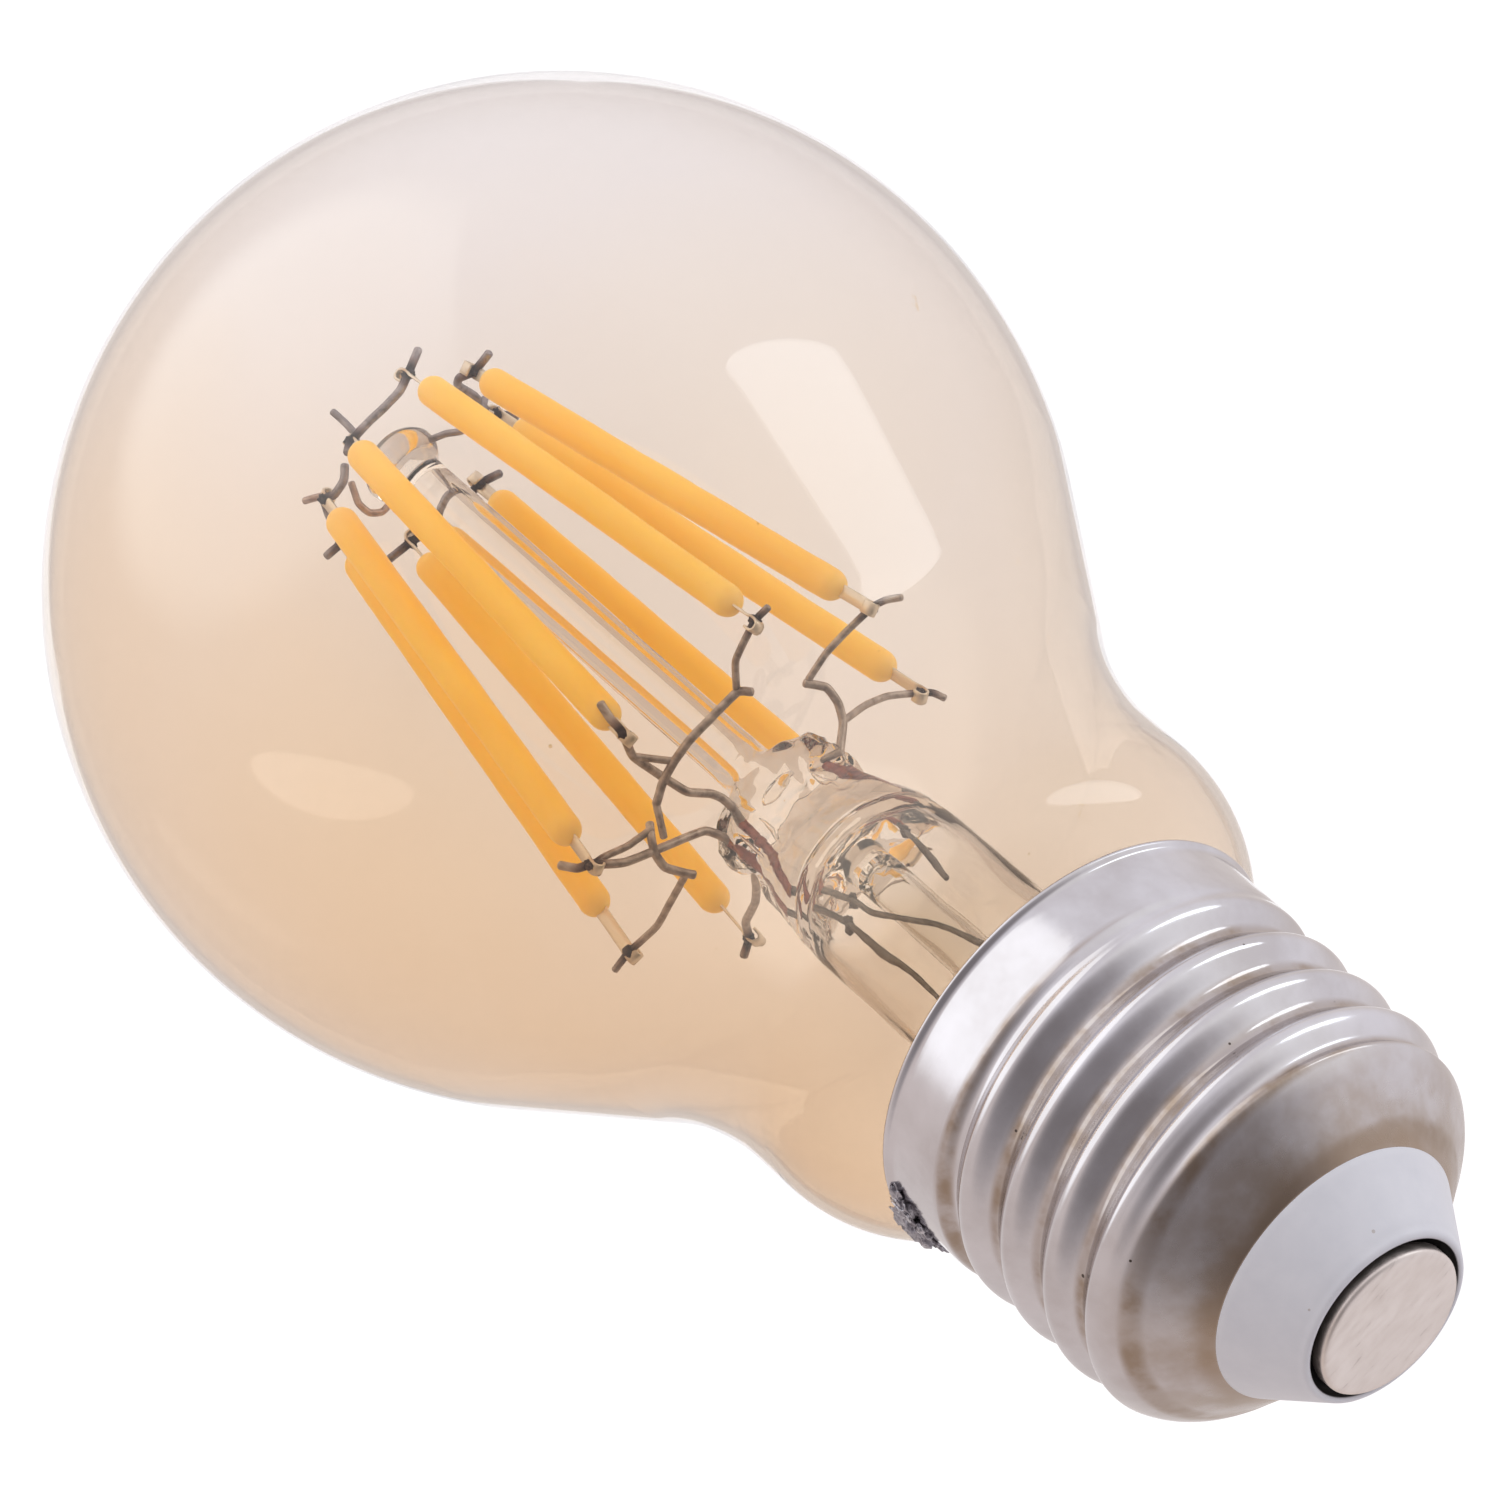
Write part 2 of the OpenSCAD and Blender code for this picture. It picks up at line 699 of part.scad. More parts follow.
seal_wire(2);  // seal_wire_2
seal_wire(3);  // seal_wire_3
outer_lead(1);  // outer_lead_1
outer_lead(2);  // outer_lead_2
outer_lead(3);  // outer_lead_3
screw_shell();
cap_insulator();
end_contact();
rim_solder();
cap_cement();
driver_board();
wireless_module();
module_shield();
bulk_capacitor();
film_capacitor();
choke_coil();
bridge_rectifier();
driver_chips();
fuse_resistor();
contact_wire();
shell_wire();
insulating_sleeve();
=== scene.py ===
import math

import bpy
from mathutils import Matrix, Vector, noise


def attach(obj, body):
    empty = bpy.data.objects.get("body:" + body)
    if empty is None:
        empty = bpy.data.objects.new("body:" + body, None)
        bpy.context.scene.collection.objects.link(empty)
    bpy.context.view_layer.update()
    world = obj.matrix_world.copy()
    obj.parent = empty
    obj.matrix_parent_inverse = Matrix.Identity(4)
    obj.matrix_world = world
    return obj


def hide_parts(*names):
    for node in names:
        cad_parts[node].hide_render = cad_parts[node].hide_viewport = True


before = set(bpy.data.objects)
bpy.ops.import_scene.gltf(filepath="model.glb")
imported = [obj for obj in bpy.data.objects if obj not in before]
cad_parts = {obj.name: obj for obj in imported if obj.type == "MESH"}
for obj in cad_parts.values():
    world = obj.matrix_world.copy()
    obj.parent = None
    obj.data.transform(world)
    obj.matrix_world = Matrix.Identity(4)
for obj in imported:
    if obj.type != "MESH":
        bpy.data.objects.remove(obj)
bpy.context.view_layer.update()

MM = 0.001

# Sizes, in millimetres, in the frame of the CAD model: the origin is the centre of the end
# contact's face, +Z runs from the crown to the cap, and the solder spot is on the +X side.
HEAD_R, HEAD_Z = 30.0, -74.0
SHOULDER_ANGLE = 30.5
BLEND_R, NECK_R, NECK_END_Z = 21.0, 16.35, -34.3
TUCK_R, TUCK_TURN = 9.0, 57.0
TAIL_R, SEAM_Z = 12.3, -23.0
WALL = 0.5

RIM_Z, COLLAR_R, COLLAR_END_Z = -27.0, 13.1, -22.7
CREST_R, ROOT_R, PITCH = 13.05, 12.0, 3.629
CREST_START_Z = -21.94
SHOULDER_Z, SHOULDER_CURVE, SHOULDER_TURN = -10.85, 4.3, 55.0
INSULATOR_R, SHELL_TOP_Z, SHEET = 8.2, -4.78, 0.25
CONTACT_R = 4.7

ROD_X, ROD_R = 0.65, 1.62
TUBE_X, TUBE_R, EXHAUST_R = 0.4, 5.6, 1.4

COAT_R, TAB_W, TAB_T = 0.95, 0.78, 0.16
CROWN_RING_R, CROWN_RING_Z = 6.7, -86.4
CAP_RING_R, CAP_RING_X, CAP_RING_Z = 11.3, 0.6, -57.9
# Each filament: angle on the rings, turn of its strip, tab reach at the crown and at the cap
FILAMENTS = [
    (195, 0, 1.9, 3.45), (147, 75, 2.5, 3.4), (236, 40, 2.65, 2.75), (103, 60, 2.2, 3.1),
    (285, 80, 1.7, 2.3), (53, 30, 2.3, 3.7), (325, 70, 2.45, 3.3), (1, 5, 2.3, 4.4),
]

LEAD_D, BRANCH_D, OUTER_D, SEAL_R = 0.52, 0.44, 0.36, 0.26
# Corners of a flat strip with broken edges, in half widths and half thicknesses
STRIP_SECTION = [(1, 0.5), (0.92, 1), (-0.92, 1), (-1, 0.5), (-1, -0.5), (-0.92, -1), (0.92, -1),
                 (1, -0.5)]


# ---- Mesh helpers ----

def piece(name, verts, faces, mat, slot_name, *nodes, marks_and_painted_shade=None):
    """Makes one piece from millimetre points, on the bulb's single body."""
    mesh = bpy.data.meshes.new(name)
    mesh.from_pydata([Vector(v) * MM for v in verts], [], faces)
    mesh.validate()
    mesh.polygons.foreach_set("use_smooth", [True] * len(mesh.polygons))
    if marks_and_painted_shade is not None:
        layer = mesh.attributes.new("marks_and_painted_shade", "FLOAT", "POINT")
        layer.data.foreach_set("value", marks_and_painted_shade)
    mesh.materials.append(mat)
    obj = bpy.data.objects.new(name, mesh)
    bpy.context.scene.collection.objects.link(obj)
    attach(obj, "root")
    if nodes:
        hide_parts(*nodes)
    return obj


def carry(node, mat):
    """Gives a carried-over CAD node its material."""
    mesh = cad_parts[node].data
    mesh.materials.clear()
    mesh.materials.append(mat)


class Parts:
    """Collects several closed shapes as one mesh."""

    def __init__(self):
        self.verts, self.faces, self.marks_and_painted_shade = [], [], []

    def add(self, verts, faces, marks_and_painted_shade=None):
        start = len(self.verts)
        self.verts += [Vector(v) for v in verts]
        self.faces += [tuple(start + i for i in f) for f in faces]
        self.marks_and_painted_shade += marks_and_painted_shade if marks_and_painted_shade is not None else [0.0] * len(verts)

    def make(self, name, mat, slot_name, *nodes):
        return piece(name, self.verts, self.faces, mat, slot_name, *nodes, marks_and_painted_shade=self.marks_and_painted_shade)


def volume(verts, faces):
    """Signed volume of a closed skin: negative when its faces point inwards."""
    total = 0.0
    for face in faces:
        a = verts[face[0]]
        for i in range(1, len(face) - 1):
            total += a.dot(verts[face[i]].cross(verts[face[i + 1]]))
    return total / 6


def rings_to_mesh(rings, closed=False):
    """Joins equal rings of points into a skin. Ends are capped, or joined when closed."""
    n = len(rings[0])
    verts = [p for ring in rings for p in ring]
    faces = []
    pairs = len(rings) if closed else len(rings) - 1
    for i in range(pairs):
        j = (i + 1) % len(rings)
        for k in range(n):
            m = (k + 1) % n
            faces.append((i * n + k, i * n + m, j * n + m, j * n + k))
    if not closed:
        faces.append(tuple(range(n - 1, -1, -1)))
        faces.append(tuple((len(rings) - 1) * n + k for k in range(n)))
    return verts, faces if volume(verts, faces) > 0 else [f[::-1] for f in faces]


def turned(profile, segments, centre=0.0, closed=True):
    """Turns a profile of (r, z) points about Z. A closed profile makes a thick wall."""
    rings = []
    for r, z in profile:
        ring = []
        for k in range(segments):
            a = 2 * math.pi * k / segments
            ring.append(Vector((centre + r * math.cos(a), r * math.sin(a), z)))
        rings.append(ring)
    return rings_to_mesh(rings, closed)


def arc(cr, cz, radius, a0, a1, steps):
    """Points on an arc in the profile plane, angles in degrees."""
    out = []
    for k in range(steps + 1):
        a = math.radians(a0 + (a1 - a0) * k / steps)
        out.append((cr + radius * math.cos(a), cz + radius * math.sin(a)))
    return out


def spline(points, steps=6, pull=0.5):
    """Smooth curve through given points."""
    pts = [Vector(p) for p in points]
    if len(pts) < 3:
        return pts
    pts = [pts[0] * 2 - pts[1]] + pts + [pts[-1] * 2 - pts[-2]]
    out = []
    for i in range(1, len(pts) - 2):
        p0, p1, p2, p3 = pts[i - 1:i + 3]
        m1, m2 = (p2 - p0) * pull, (p3 - p1) * pull
        reach = (p2 - p1).length
        m1 = m1.normalized() * min(m1.length, reach)
        m2 = m2.normalized() * min(m2.length, reach)
        for k in range(steps):
            t = k / steps
            h = (2 * t**3 - 3 * t**2 + 1, t**3 - 2 * t**2 + t, -2 * t**3 + 3 * t**2, t**3 - t**2)
            out.append(p1 * h[0] + m1 * h[1] + p2 * h[2] + m2 * h[3])
    out.append(pts[-2])
    return out


def frames(path):
    """Tangent and two side directions along a path, turned as little as possible."""
    tangents = []
    for i in range(len(path)):
        a = path[max(i - 1, 0)]
        b = path[min(i + 1, len(path) - 1)]
        tangents.append((b - a).normalized())
    side = tangents[0].orthogonal().normalized()
    out = []
    for t in tangents:
        side = (side - t * side.dot(t)).normalized()
        out.append((t, side, t.cross(side)))
    return out


def sweep(path, radius, seed, wear, burnt=(), sides=14):
    """Round wire with rounded ends and slight unevenness, and how burnt each of its points is."""
    rings, marks_and_painted_shade = [], []
    count = len(path)
    for i, (p, (t, u, v)) in enumerate(zip(path, frames(path))):
        levels = [(0.0, 1.0)]
        if i == 0:
            levels = [(-0.5 * radius, 0.55), (-0.3 * radius, 0.86), (0.0, 1.0)]
        if i == count - 1:
            levels = [(0.0, 1.0), (0.3 * radius, 0.86), (0.5 * radius, 0.55)]
        for along, shrink in levels:
            c = p + t * along
            r = radius * shrink
            ring = []
            for k in range(sides):
                a = 2 * math.pi * k / sides
                rough = wear * noise.noise((c + Vector((seed, k * 0.3, 0))) * 2.2)
                ring.append(c + (u * math.cos(a) + v * math.sin(a)) * (r + rough))
            rings.append(ring)
            heat = max([math.exp(-((c - Vector(b)).length / 0.85) ** 2) for b in burnt] + [0.0])
            marks_and_painted_shade += [heat] * sides
    verts, faces = rings_to_mesh(rings)
    return verts, faces, marks_and_painted_shade


def ribbon(path, across, width, thick):
    """Flat strip along a path, its width along a given direction."""
    rings = []
    for p, (t, _, _) in zip(path, frames(path)):
        w = (across - t * across.dot(t)).normalized()
        n = t.cross(w)
        ring = []
        for a, b in STRIP_SECTION:
            ring.append(p + w * (a * width / 2) + n * (b * thick / 2))
        rings.append(ring)
    return rings_to_mesh(rings)


def lump(centre, size, seed, rough, detail=2.0, rows=10, sides=14):
    """Closed uneven blob, such as a weld or a drop of solder."""
    centre, size = Vector(centre), Vector(size)
    rings = []
    for i in range(1, rows):
        a = math.pi * i / rows
        ring = []
        for k in range(sides):
            b = 2 * math.pi * k / sides
            d = Vector((math.sin(a) * math.cos(b), math.sin(a) * math.sin(b), math.cos(a)))
            grow = 1 + rough * noise.noise(d * detail + Vector((seed, seed * 1.7, -seed)))
            ring.append(centre + Vector((d.x * size.x, d.y * size.y, d.z * size.z)) * grow)
        rings.append(ring)
    return rings_to_mesh(rings)


def smooth_step(low, high, x):
    t = min(1.0, max(0.0, (x - low) / (high - low)))
    return t * t * (3 - 2 * t)


def soft_min(a, b, k):
    h = max(k - abs(a - b), 0.0) / k
    return min(a, b) - h * h * k / 4


# ---- Material helpers ----

class Look:
    """One Principled material with short calls for its procedural detail."""

    def __init__(self, name, **values):
        self.mat = bpy.data.materials.new(name)
        self.mat.use_nodes = True
        self.tree = self.mat.node_tree
        self.shader = next(n for n in self.tree.nodes if n.type == "BSDF_PRINCIPLED")
        for key, value in values.items():
            self.shader.inputs[key.replace("_", " ")].default_value = value
        self.place = self.node("ShaderNodeTexCoord").outputs["Object"]

    def node(self, kind, **settings):
        made = self.tree.nodes.new(kind)
        for key, value in settings.items():
            if hasattr(made, key):
                setattr(made, key, value)
            else:
                made.inputs[key.replace("_", " ")].default_value = value
        return made

    def link(self, a, b):
        self.tree.links.new(a, b)

    def stretched(self, x, y, z):
        made = self.node("ShaderNodeMapping")
        made.inputs["Scale"].default_value = (x, y, z)
        self.link(self.place, made.inputs["Vector"])
        return made.outputs["Vector"]

    def noise(self, scale, detail, where=None):
        made = self.node("ShaderNodeTexNoise", Scale=scale, Detail=detail, Roughness=0.55)
        self.link(where or self.place, made.inputs["Vector"])
        return made.outputs["Fac"]

    def dots(self, scale, size, share):
        """Mask of small round dots: 1 inside a dot, for a share of the cells."""
        cells = self.node("ShaderNodeTexVoronoi", Scale=scale)
        self.link(self.place, cells.inputs["Vector"])
        near = self.math("LESS_THAN", cells.outputs["Distance"], size)
        split = self.node("ShaderNodeSeparateColor")
        self.link(cells.outputs["Color"], split.inputs["Color"])
        chosen = self.math("LESS_THAN", split.outputs["Red"], share)
        return self.math("MULTIPLY", near, chosen)

    def axis(self, name):
        made = self.node("ShaderNodeSeparateXYZ")
        self.link(self.place, made.inputs["Vector"])
        return made.outputs[name]

    def attribute(self, name):
        return self.node("ShaderNodeAttribute", attribute_name=name).outputs["Fac"]

    def math(self, operation, a, b):
        made = self.node("ShaderNodeMath", operation=operation)
        for socket, value in zip(made.inputs, (a, b)):
            if isinstance(value, (int, float)):
                socket.default_value = value
            else:
                self.link(value, socket)
        return made.outputs[0]

    def span(self, value, low, high, to_low=0.0, to_high=1.0):
        made = self.node("ShaderNodeMapRange")
        made.interpolation_type = "SMOOTHSTEP"
        for key, number in (("From Min", low), ("From Max", high), ("To Min", to_low), ("To Max", to_high)):
            made.inputs[key].default_value = number
        self.link(value, made.inputs["Value"])
        return made.outputs["Result"]

    def ramp(self, value, *stops):
        made = self.node("ShaderNodeValToRGB")
        points = made.color_ramp.elements
        while len(points) < len(stops):
            points.new(0.5)
        for point, (place, colour) in zip(points, stops):
            point.position = place
            point.color = (*colour, 1.0)
        self.link(value, made.inputs["Fac"])
        return made.outputs["Color"]

    def mix(self, factor, a, b, blend="MIX"):
        made = self.node("ShaderNodeMix", data_type="RGBA", blend_type=blend)
        factor_in, a_in, b_in = made.inputs[0], made.inputs[6], made.inputs[7]
        if isinstance(factor, (int, float)):
            factor_in.default_value = factor
        else:
            self.link(factor, factor_in)
        for socket, value in ((a_in, a), (b_in, b)):
            if isinstance(value, tuple):
                socket.default_value = (*value, 1.0)
            else:
                self.link(value, socket)
        return made.outputs[2]

    def colour(self, value):
        self.link(value, self.shader.inputs["Base Color"])

    def rough(self, value):
        self.link(value, self.shader.inputs["Roughness"])

    def bump(self, height, strength, distance, below=None):
        made = self.node("ShaderNodeBump", Strength=strength, Distance=distance)
        self.link(height, made.inputs["Height"])
        if below is not None:
            self.link(below, made.inputs["Normal"])
        self.link(made.outputs["Normal"], self.shader.inputs["Normal"])
        return made.outputs["Normal"]


# ---- Materials ----

def amber_glass():
    """Blown envelope: amber tint, faint waviness, dust specks, a few fine rubs, and a painted dark rim
    where the wall is seen edge-on.
    """
    look = Look("amber_glass", Transmission_Weight=1.0, Roughness=0.0, IOR=1.5, Specular_IOR_Level=0.9)
    drift = look.math("ADD", look.axis("X"), look.math("MULTIPLY", look.noise(45, 2), 0.012))
    side = look.span(drift, -0.022, 0.032)
    from_side = ((0.0, (0.92, 0.89, 0.87)), (0.5, (0.915, 0.85, 0.79)), (1.0, (0.895, 0.77, 0.635)))
    from_crown = ((0.0, (0.985, 1.0, 1.025)), (0.5, (0.935, 0.93, 0.945)), (1.0, (0.915, 0.855, 0.775)))
    tint = look.ramp(side, *from_side)
    along = look.ramp(look.span(look.axis("Z"), -0.095, -0.050), *from_crown)
    tint = look.mix(1.0, tint, along, "MULTIPLY")
    cloud = look.span(look.noise(22, 5), 0.35, 0.75)
    tint = look.mix(look.math("MULTIPLY", cloud, 0.25), tint, (0.93, 0.87, 0.80))
    specks = look.dots(300, 0.035, 0.05)
    tint = look.mix(specks, tint, (0.52, 0.34, 0.16))
    rubs = look.math("MULTIPLY", look.span(look.noise(900, 3, look.stretched(1, 0.12, 1)), 0.70, 0.78),
                     look.span(look.noise(30, 1), 0.60, 0.66))
    tint = look.mix(rubs, tint, (0.80, 0.62, 0.38))
    # Painted shade: where the wall is seen edge-on its colour turns mauve-grey. This paints a dark outline
    # in place of the reflection along the rim.
    facing = look.node("ShaderNodeLayerWeight", Blend=0.5).outputs["Facing"]
    look.colour(look.mix(look.span(facing, 0.86, 0.97), tint, (0.52, 0.42, 0.46)))
    calm = look.span(facing, 0.35, 0.75, 1.0, 0.0)
    look.bump(look.math("MULTIPLY", look.noise(32, 2), calm), 0.06, 0.0006)
    return look.mat


def clear_glass(name, streak, ior=1.5):
    """Fire-worked glass with drawn streaks along the axis."""
    look = Look(name, Transmission_Weight=1.0, Roughness=0.0, IOR=ior)
    worked = look.math("MULTIPLY", look.span(look.axis("Z"), -0.0565, -0.0545),
                       look.span(look.axis("Z"), -0.0455, -0.0480))
    drawn = look.math("MULTIPLY", look.noise(300, 1, look.stretched(1, 1, 0.16)), worked)
    lumps = look.math("MULTIPLY", look.noise(260, 2), worked)
    tint = look.ramp(drawn, (0.3, (0.985, 0.975, 0.955)), (0.7, (0.995, 0.99, 0.985)))
    bubbles = look.dots(520, 0.10, 0.05)
    look.colour(look.mix(bubbles, tint, (0.86, 0.80, 0.74)))
    first = look.bump(drawn, streak, 0.0004)
    look.bump(lumps, streak, 0.0005, first)
    return look.mat


def phosphor():
    """Yellow phosphor silicone over the filament: soft, translucent, thinner at its tips, with a painted
    faint orange glow.
    """
    look = Look("phosphor_silicone", Roughness=0.38, IOR=1.42, Subsurface_Weight=0.35,
                Subsurface_Scale=0.0007)
    look.shader.inputs["Subsurface Radius"].default_value = (1.0, 0.55, 0.12)
    streak = look.noise(240, 4, look.stretched(1, 1, 0.3))
    body = look.ramp(streak, (0.32, (0.96, 0.56, 0.07)), (0.68, (1.0, 0.66, 0.12)))
    tip = look.mix(look.attribute("marks_and_painted_shade"), body, (0.95, 0.68, 0.26))
    share = look.math("ADD", look.attribute("marks_and_painted_shade"), 0.06)
    specks = look.math("MULTIPLY", look.dots(1900, 0.16, 0.10), share)
    look.colour(look.mix(specks, tip, (0.34, 0.15, 0.03)))
    look.bump(look.noise(900, 3), 0.12, 0.0001)
    # Painted glow: the unlit coat is given a faint orange emission.
    look.shader.inputs["Emission Color"].default_value = (1.0, 0.50, 0.06, 1.0)
    look.shader.inputs["Emission Strength"].default_value = 0.23
    return look.mat


def plated_strip():
    look = Look("pale_strip", Metallic=0.75, Roughness=0.34)
    grain = look.noise(2600, 3, look.stretched(1, 1, 0.08))
    base = look.ramp(grain, (0.25, (0.78, 0.68, 0.52)), (0.75, (0.95, 0.88, 0.76)))
    heat = look.ramp(look.attribute("marks_and_painted_shade"), (0.25, (1, 1, 1)), (0.62, (0.62, 0.44, 0.32)),
                     (0.95, (0.16, 0.12, 0.11)))
    look.colour(look.mix(1.0, base, heat, "MULTIPLY"))
    look.rough(look.span(grain, 0.3, 0.7, 0.28, 0.46))
    look.bump(grain, 0.2, 0.00005)
    return look.mat


def nickel_wire(name, dark, light):
    """Drawn wire with lengthwise streaks, burnt dark round its welds."""
    look = Look(name, Metallic=0.85, Roughness=0.36)
    streak = look.noise(1800, 4, look.stretched(1, 1, 0.35))
    base = look.ramp(streak, (0.32, dark), (0.68, light))
    heat = look.ramp(look.attribute("marks_and_painted_shade"), (0.10, (1, 1, 1)), (0.40, (0.55, 0.46, 0.44)),
                     (0.85, (0.13, 0.11, 0.12)))
    look.colour(look.mix(1.0, base, heat, "MULTIPLY"))
    look.rough(look.span(streak, 0.3, 0.7, 0.30, 0.52))
    look.bump(streak, 0.35, 0.00006)
    return look.mat


def copper_seal():
    look = Look("seal_copper", Metallic=0.7, Roughness=0.32)
    patch = look.noise(1500, 4)
    look.colour(look.ramp(patch, (0.3, (0.20, 0.05, 0.04)), (0.7, (0.46, 0.16, 0.12))))
    look.rough(look.span(patch, 0.3, 0.7, 0.25, 0.45))
    look.bump(patch, 0.3, 0.00008)
    return look.mat


def nickel_shell():
    """Bright nickel plate on rolled sheet: fine rolling marks, tarnish in the grooves, dark specks."""
    look = Look("nickel_shell", Metallic=1.0, Roughness=0.2)
    round_marks = look.noise(900, 4, look.stretched(0.10, 0.10, 2.4))
    cloud = look.noise(210, 5)
    base = look.ramp(cloud, (0.30, (0.56, 0.53, 0.54)), (0.55, (0.66, 0.64, 0.665)),
                     (0.75, (0.72, 0.70, 0.735)))
    top = look.span(look.axis("Z"), -0.0105, -0.0052)
    tarnish = look.math("MULTIPLY", top, look.span(look.noise(320, 4), 0.30, 0.70, 0.35, 1.0))
    base = look.mix(tarnish, base, (0.42, 0.345, 0.29))
    edge = look.math("MULTIPLY", look.span(look.axis("Z"), -0.0060, -0.0050), 0.6)
    base = look.mix(edge, base, (0.34, 0.24, 0.16))
    uneven = look.span(look.noise(420, 4), 0.35, 0.7, 0.4, 1.0)
    groove = look.math("MULTIPLY", look.attribute("marks_and_painted_shade"), uneven)
    base = look.mix(groove, base, (0.34, 0.26, 0.20))
    specks = look.dots(900, 0.11, 0.05)
    look.colour(look.mix(specks, base, (0.10, 0.08, 0.07)))
    rough = look.span(cloud, 0.3, 0.7, 0.10, 0.20)
    look.rough(look.math("ADD", rough, look.math("MULTIPLY", top, 0.14)))
    first = look.bump(round_marks, 0.10, 0.00006)
    look.bump(look.noise(700, 3), 0.10, 0.00008, first)
    return look.mat


def pale_insulator():
    look = Look("pale_insulator", Roughness=0.42, IOR=1.5)
    cloud = look.noise(500, 4)
    base = look.ramp(cloud, (0.3, (0.74, 0.745, 0.80)), (0.7, (0.80, 0.80, 0.85)))
    stain = look.math("MULTIPLY", look.dots(1300, 0.14, 0.04), 0.6)
    base = look.mix(stain, base, (0.45, 0.38, 0.34))
    # Painted shade: near-black where the mesh marks the recess round the contact.
    look.colour(look.mix(look.attribute("marks_and_painted_shade"), base, (0.02, 0.018, 0.016)))
    look.rough(look.span(cloud, 0.3, 0.7, 0.36, 0.5))
    look.bump(look.noise(1400, 3), 0.12, 0.00008)
    return look.mat


def contact_metal():
    look = Look("contact_metal", Metallic=0.9, Roughness=0.38)
    grain = look.noise(2200, 4, look.stretched(0.25, 1, 1))
    cloud = look.noise(420, 4)
    base = look.ramp(cloud, (0.3, (0.72, 0.645, 0.60)), (0.7, (0.80, 0.73, 0.69)))
    marks = look.math("MULTIPLY", look.span(grain, 0.62, 0.74), 0.4)
    look.colour(look.mix(marks, base, (0.40, 0.35, 0.33)))
    look.rough(look.span(grain, 0.3, 0.7, 0.32, 0.5))
    look.bump(grain, 0.15, 0.00005)
    return look.mat


def solder_metal():
    look = Look("solder_metal", Metallic=0.9, Roughness=0.35)
    cloud = look.noise(1500, 5)
    look.colour(look.ramp(cloud, (0.30, (0.24, 0.22, 0.25)), (0.55, (0.48, 0.46, 0.50)),
                          (0.75, (0.76, 0.74, 0.76))))
    look.rough(look.span(cloud, 0.3, 0.7, 0.5, 0.2))
    look.bump(cloud, 0.5, 0.0003)
    return look.mat


def grained(name, low, high, roughness, metallic, scale, strength):
    """General moulded or coated finish with a fine mottle."""
    look = Look(name, Metallic=metallic, Roughness=roughness)
    mottle = look.noise(scale, 4)
    look.colour(look.ramp(mottle, (0.3, low), (0.7, high)))
    look.rough(look.span(mottle, 0.3, 0.7, roughness - 0.08, roughness + 0.08))
    look.bump(mottle, strength, 0.00008)
    return look.mat


def pale_floor():
    look = Look("pale_floor", Roughness=0.9)
    look.colour(look.ramp(look.noise(8, 3), (0.3, (0.80, 0.80, 0.80)), (0.7, (0.83, 0.83, 0.83))))
    look.shader.inputs["Emission Color"].default_value = (1, 1, 1, 1)
    look.shader.inputs["Emission Strength"].default_value = 0.62
    return look.mat


# ---- Glass ----

def glass_profile(t):
    """Half outline of the envelope from crown to cap, moved inwards by t."""
    sphere_r, blend, neck = HEAD_R - t, BLEND_R + t, NECK_R - t
    a = math.radians(SHOULDER_ANGLE)
    top_r, top_z = sphere_r * math.cos(a), HEAD_Z + sphere_r * math.sin(a)
    low_r = neck + blend * (1 - math.cos(a))
    low_z = top_z + (top_r - low_r) / math.tan(a)
    blend_z = low_z + blend * math.sin(a)
    head = arc(0, HEAD_Z, sphere_r, -89.6, SHOULDER_ANGLE, 120)
    cone = [(top_r + (low_r - top_r) * k / 8, top_z + (low_z - top_z) * k / 8) for k in range(1, 8)]
    curve = arc(neck + blend, blend_z, blend, 180 + SHOULDER_ANGLE, 180, 24)
    neck_run = [(neck, blend_z + (NECK_END_Z - blend_z) * k / 4) for k in range(1, 4)]
    tuck = arc(NECK_R - TUCK_R, NECK_END_Z, TUCK_R - t, 0, TUCK_TURN, 20)
    tail = [(TAIL_R - t, SEAM_Z - 2.4), (TAIL_R - t, SEAM_Z - 0.3)]
    return head + cone + curve + neck_run + tuck + tail


def make_envelope(mat):
    """Thin blown wall as one closed skin."""
    outer, inner = glass_profile(0.0), glass_profile(WALL)
    seam = [(TAIL_R - 0.15, SEAM_Z), (TAIL_R - WALL + 0.1, SEAM_Z)]
    profile = outer + seam + inner[::-1]
    verts, faces = turned(profile, segments=320, closed=False)
    obj = piece("envelope", verts, faces, mat, "envelope_glass", "glass_envelope")
    obj.visible_shadow = False


def stem_centre(z):
    """Sideways offset of the stem's sections, from the pinch to the cap."""
    past_pinch = smooth_step(-48, -45, z)
    return ROD_X * (1 - past_pinch) + TUBE_X * past_pinch * (1 - smooth_step(-36, -26, z))


def nub_height(spot, nubs):
    """How far the inner bottom stands up where a seal wire leaves it."""
    return sum(h * math.exp(-((spot.x - cx) ** 2 + (spot.y - cy) ** 2) / 0.8) for (cx, cy), h in nubs)


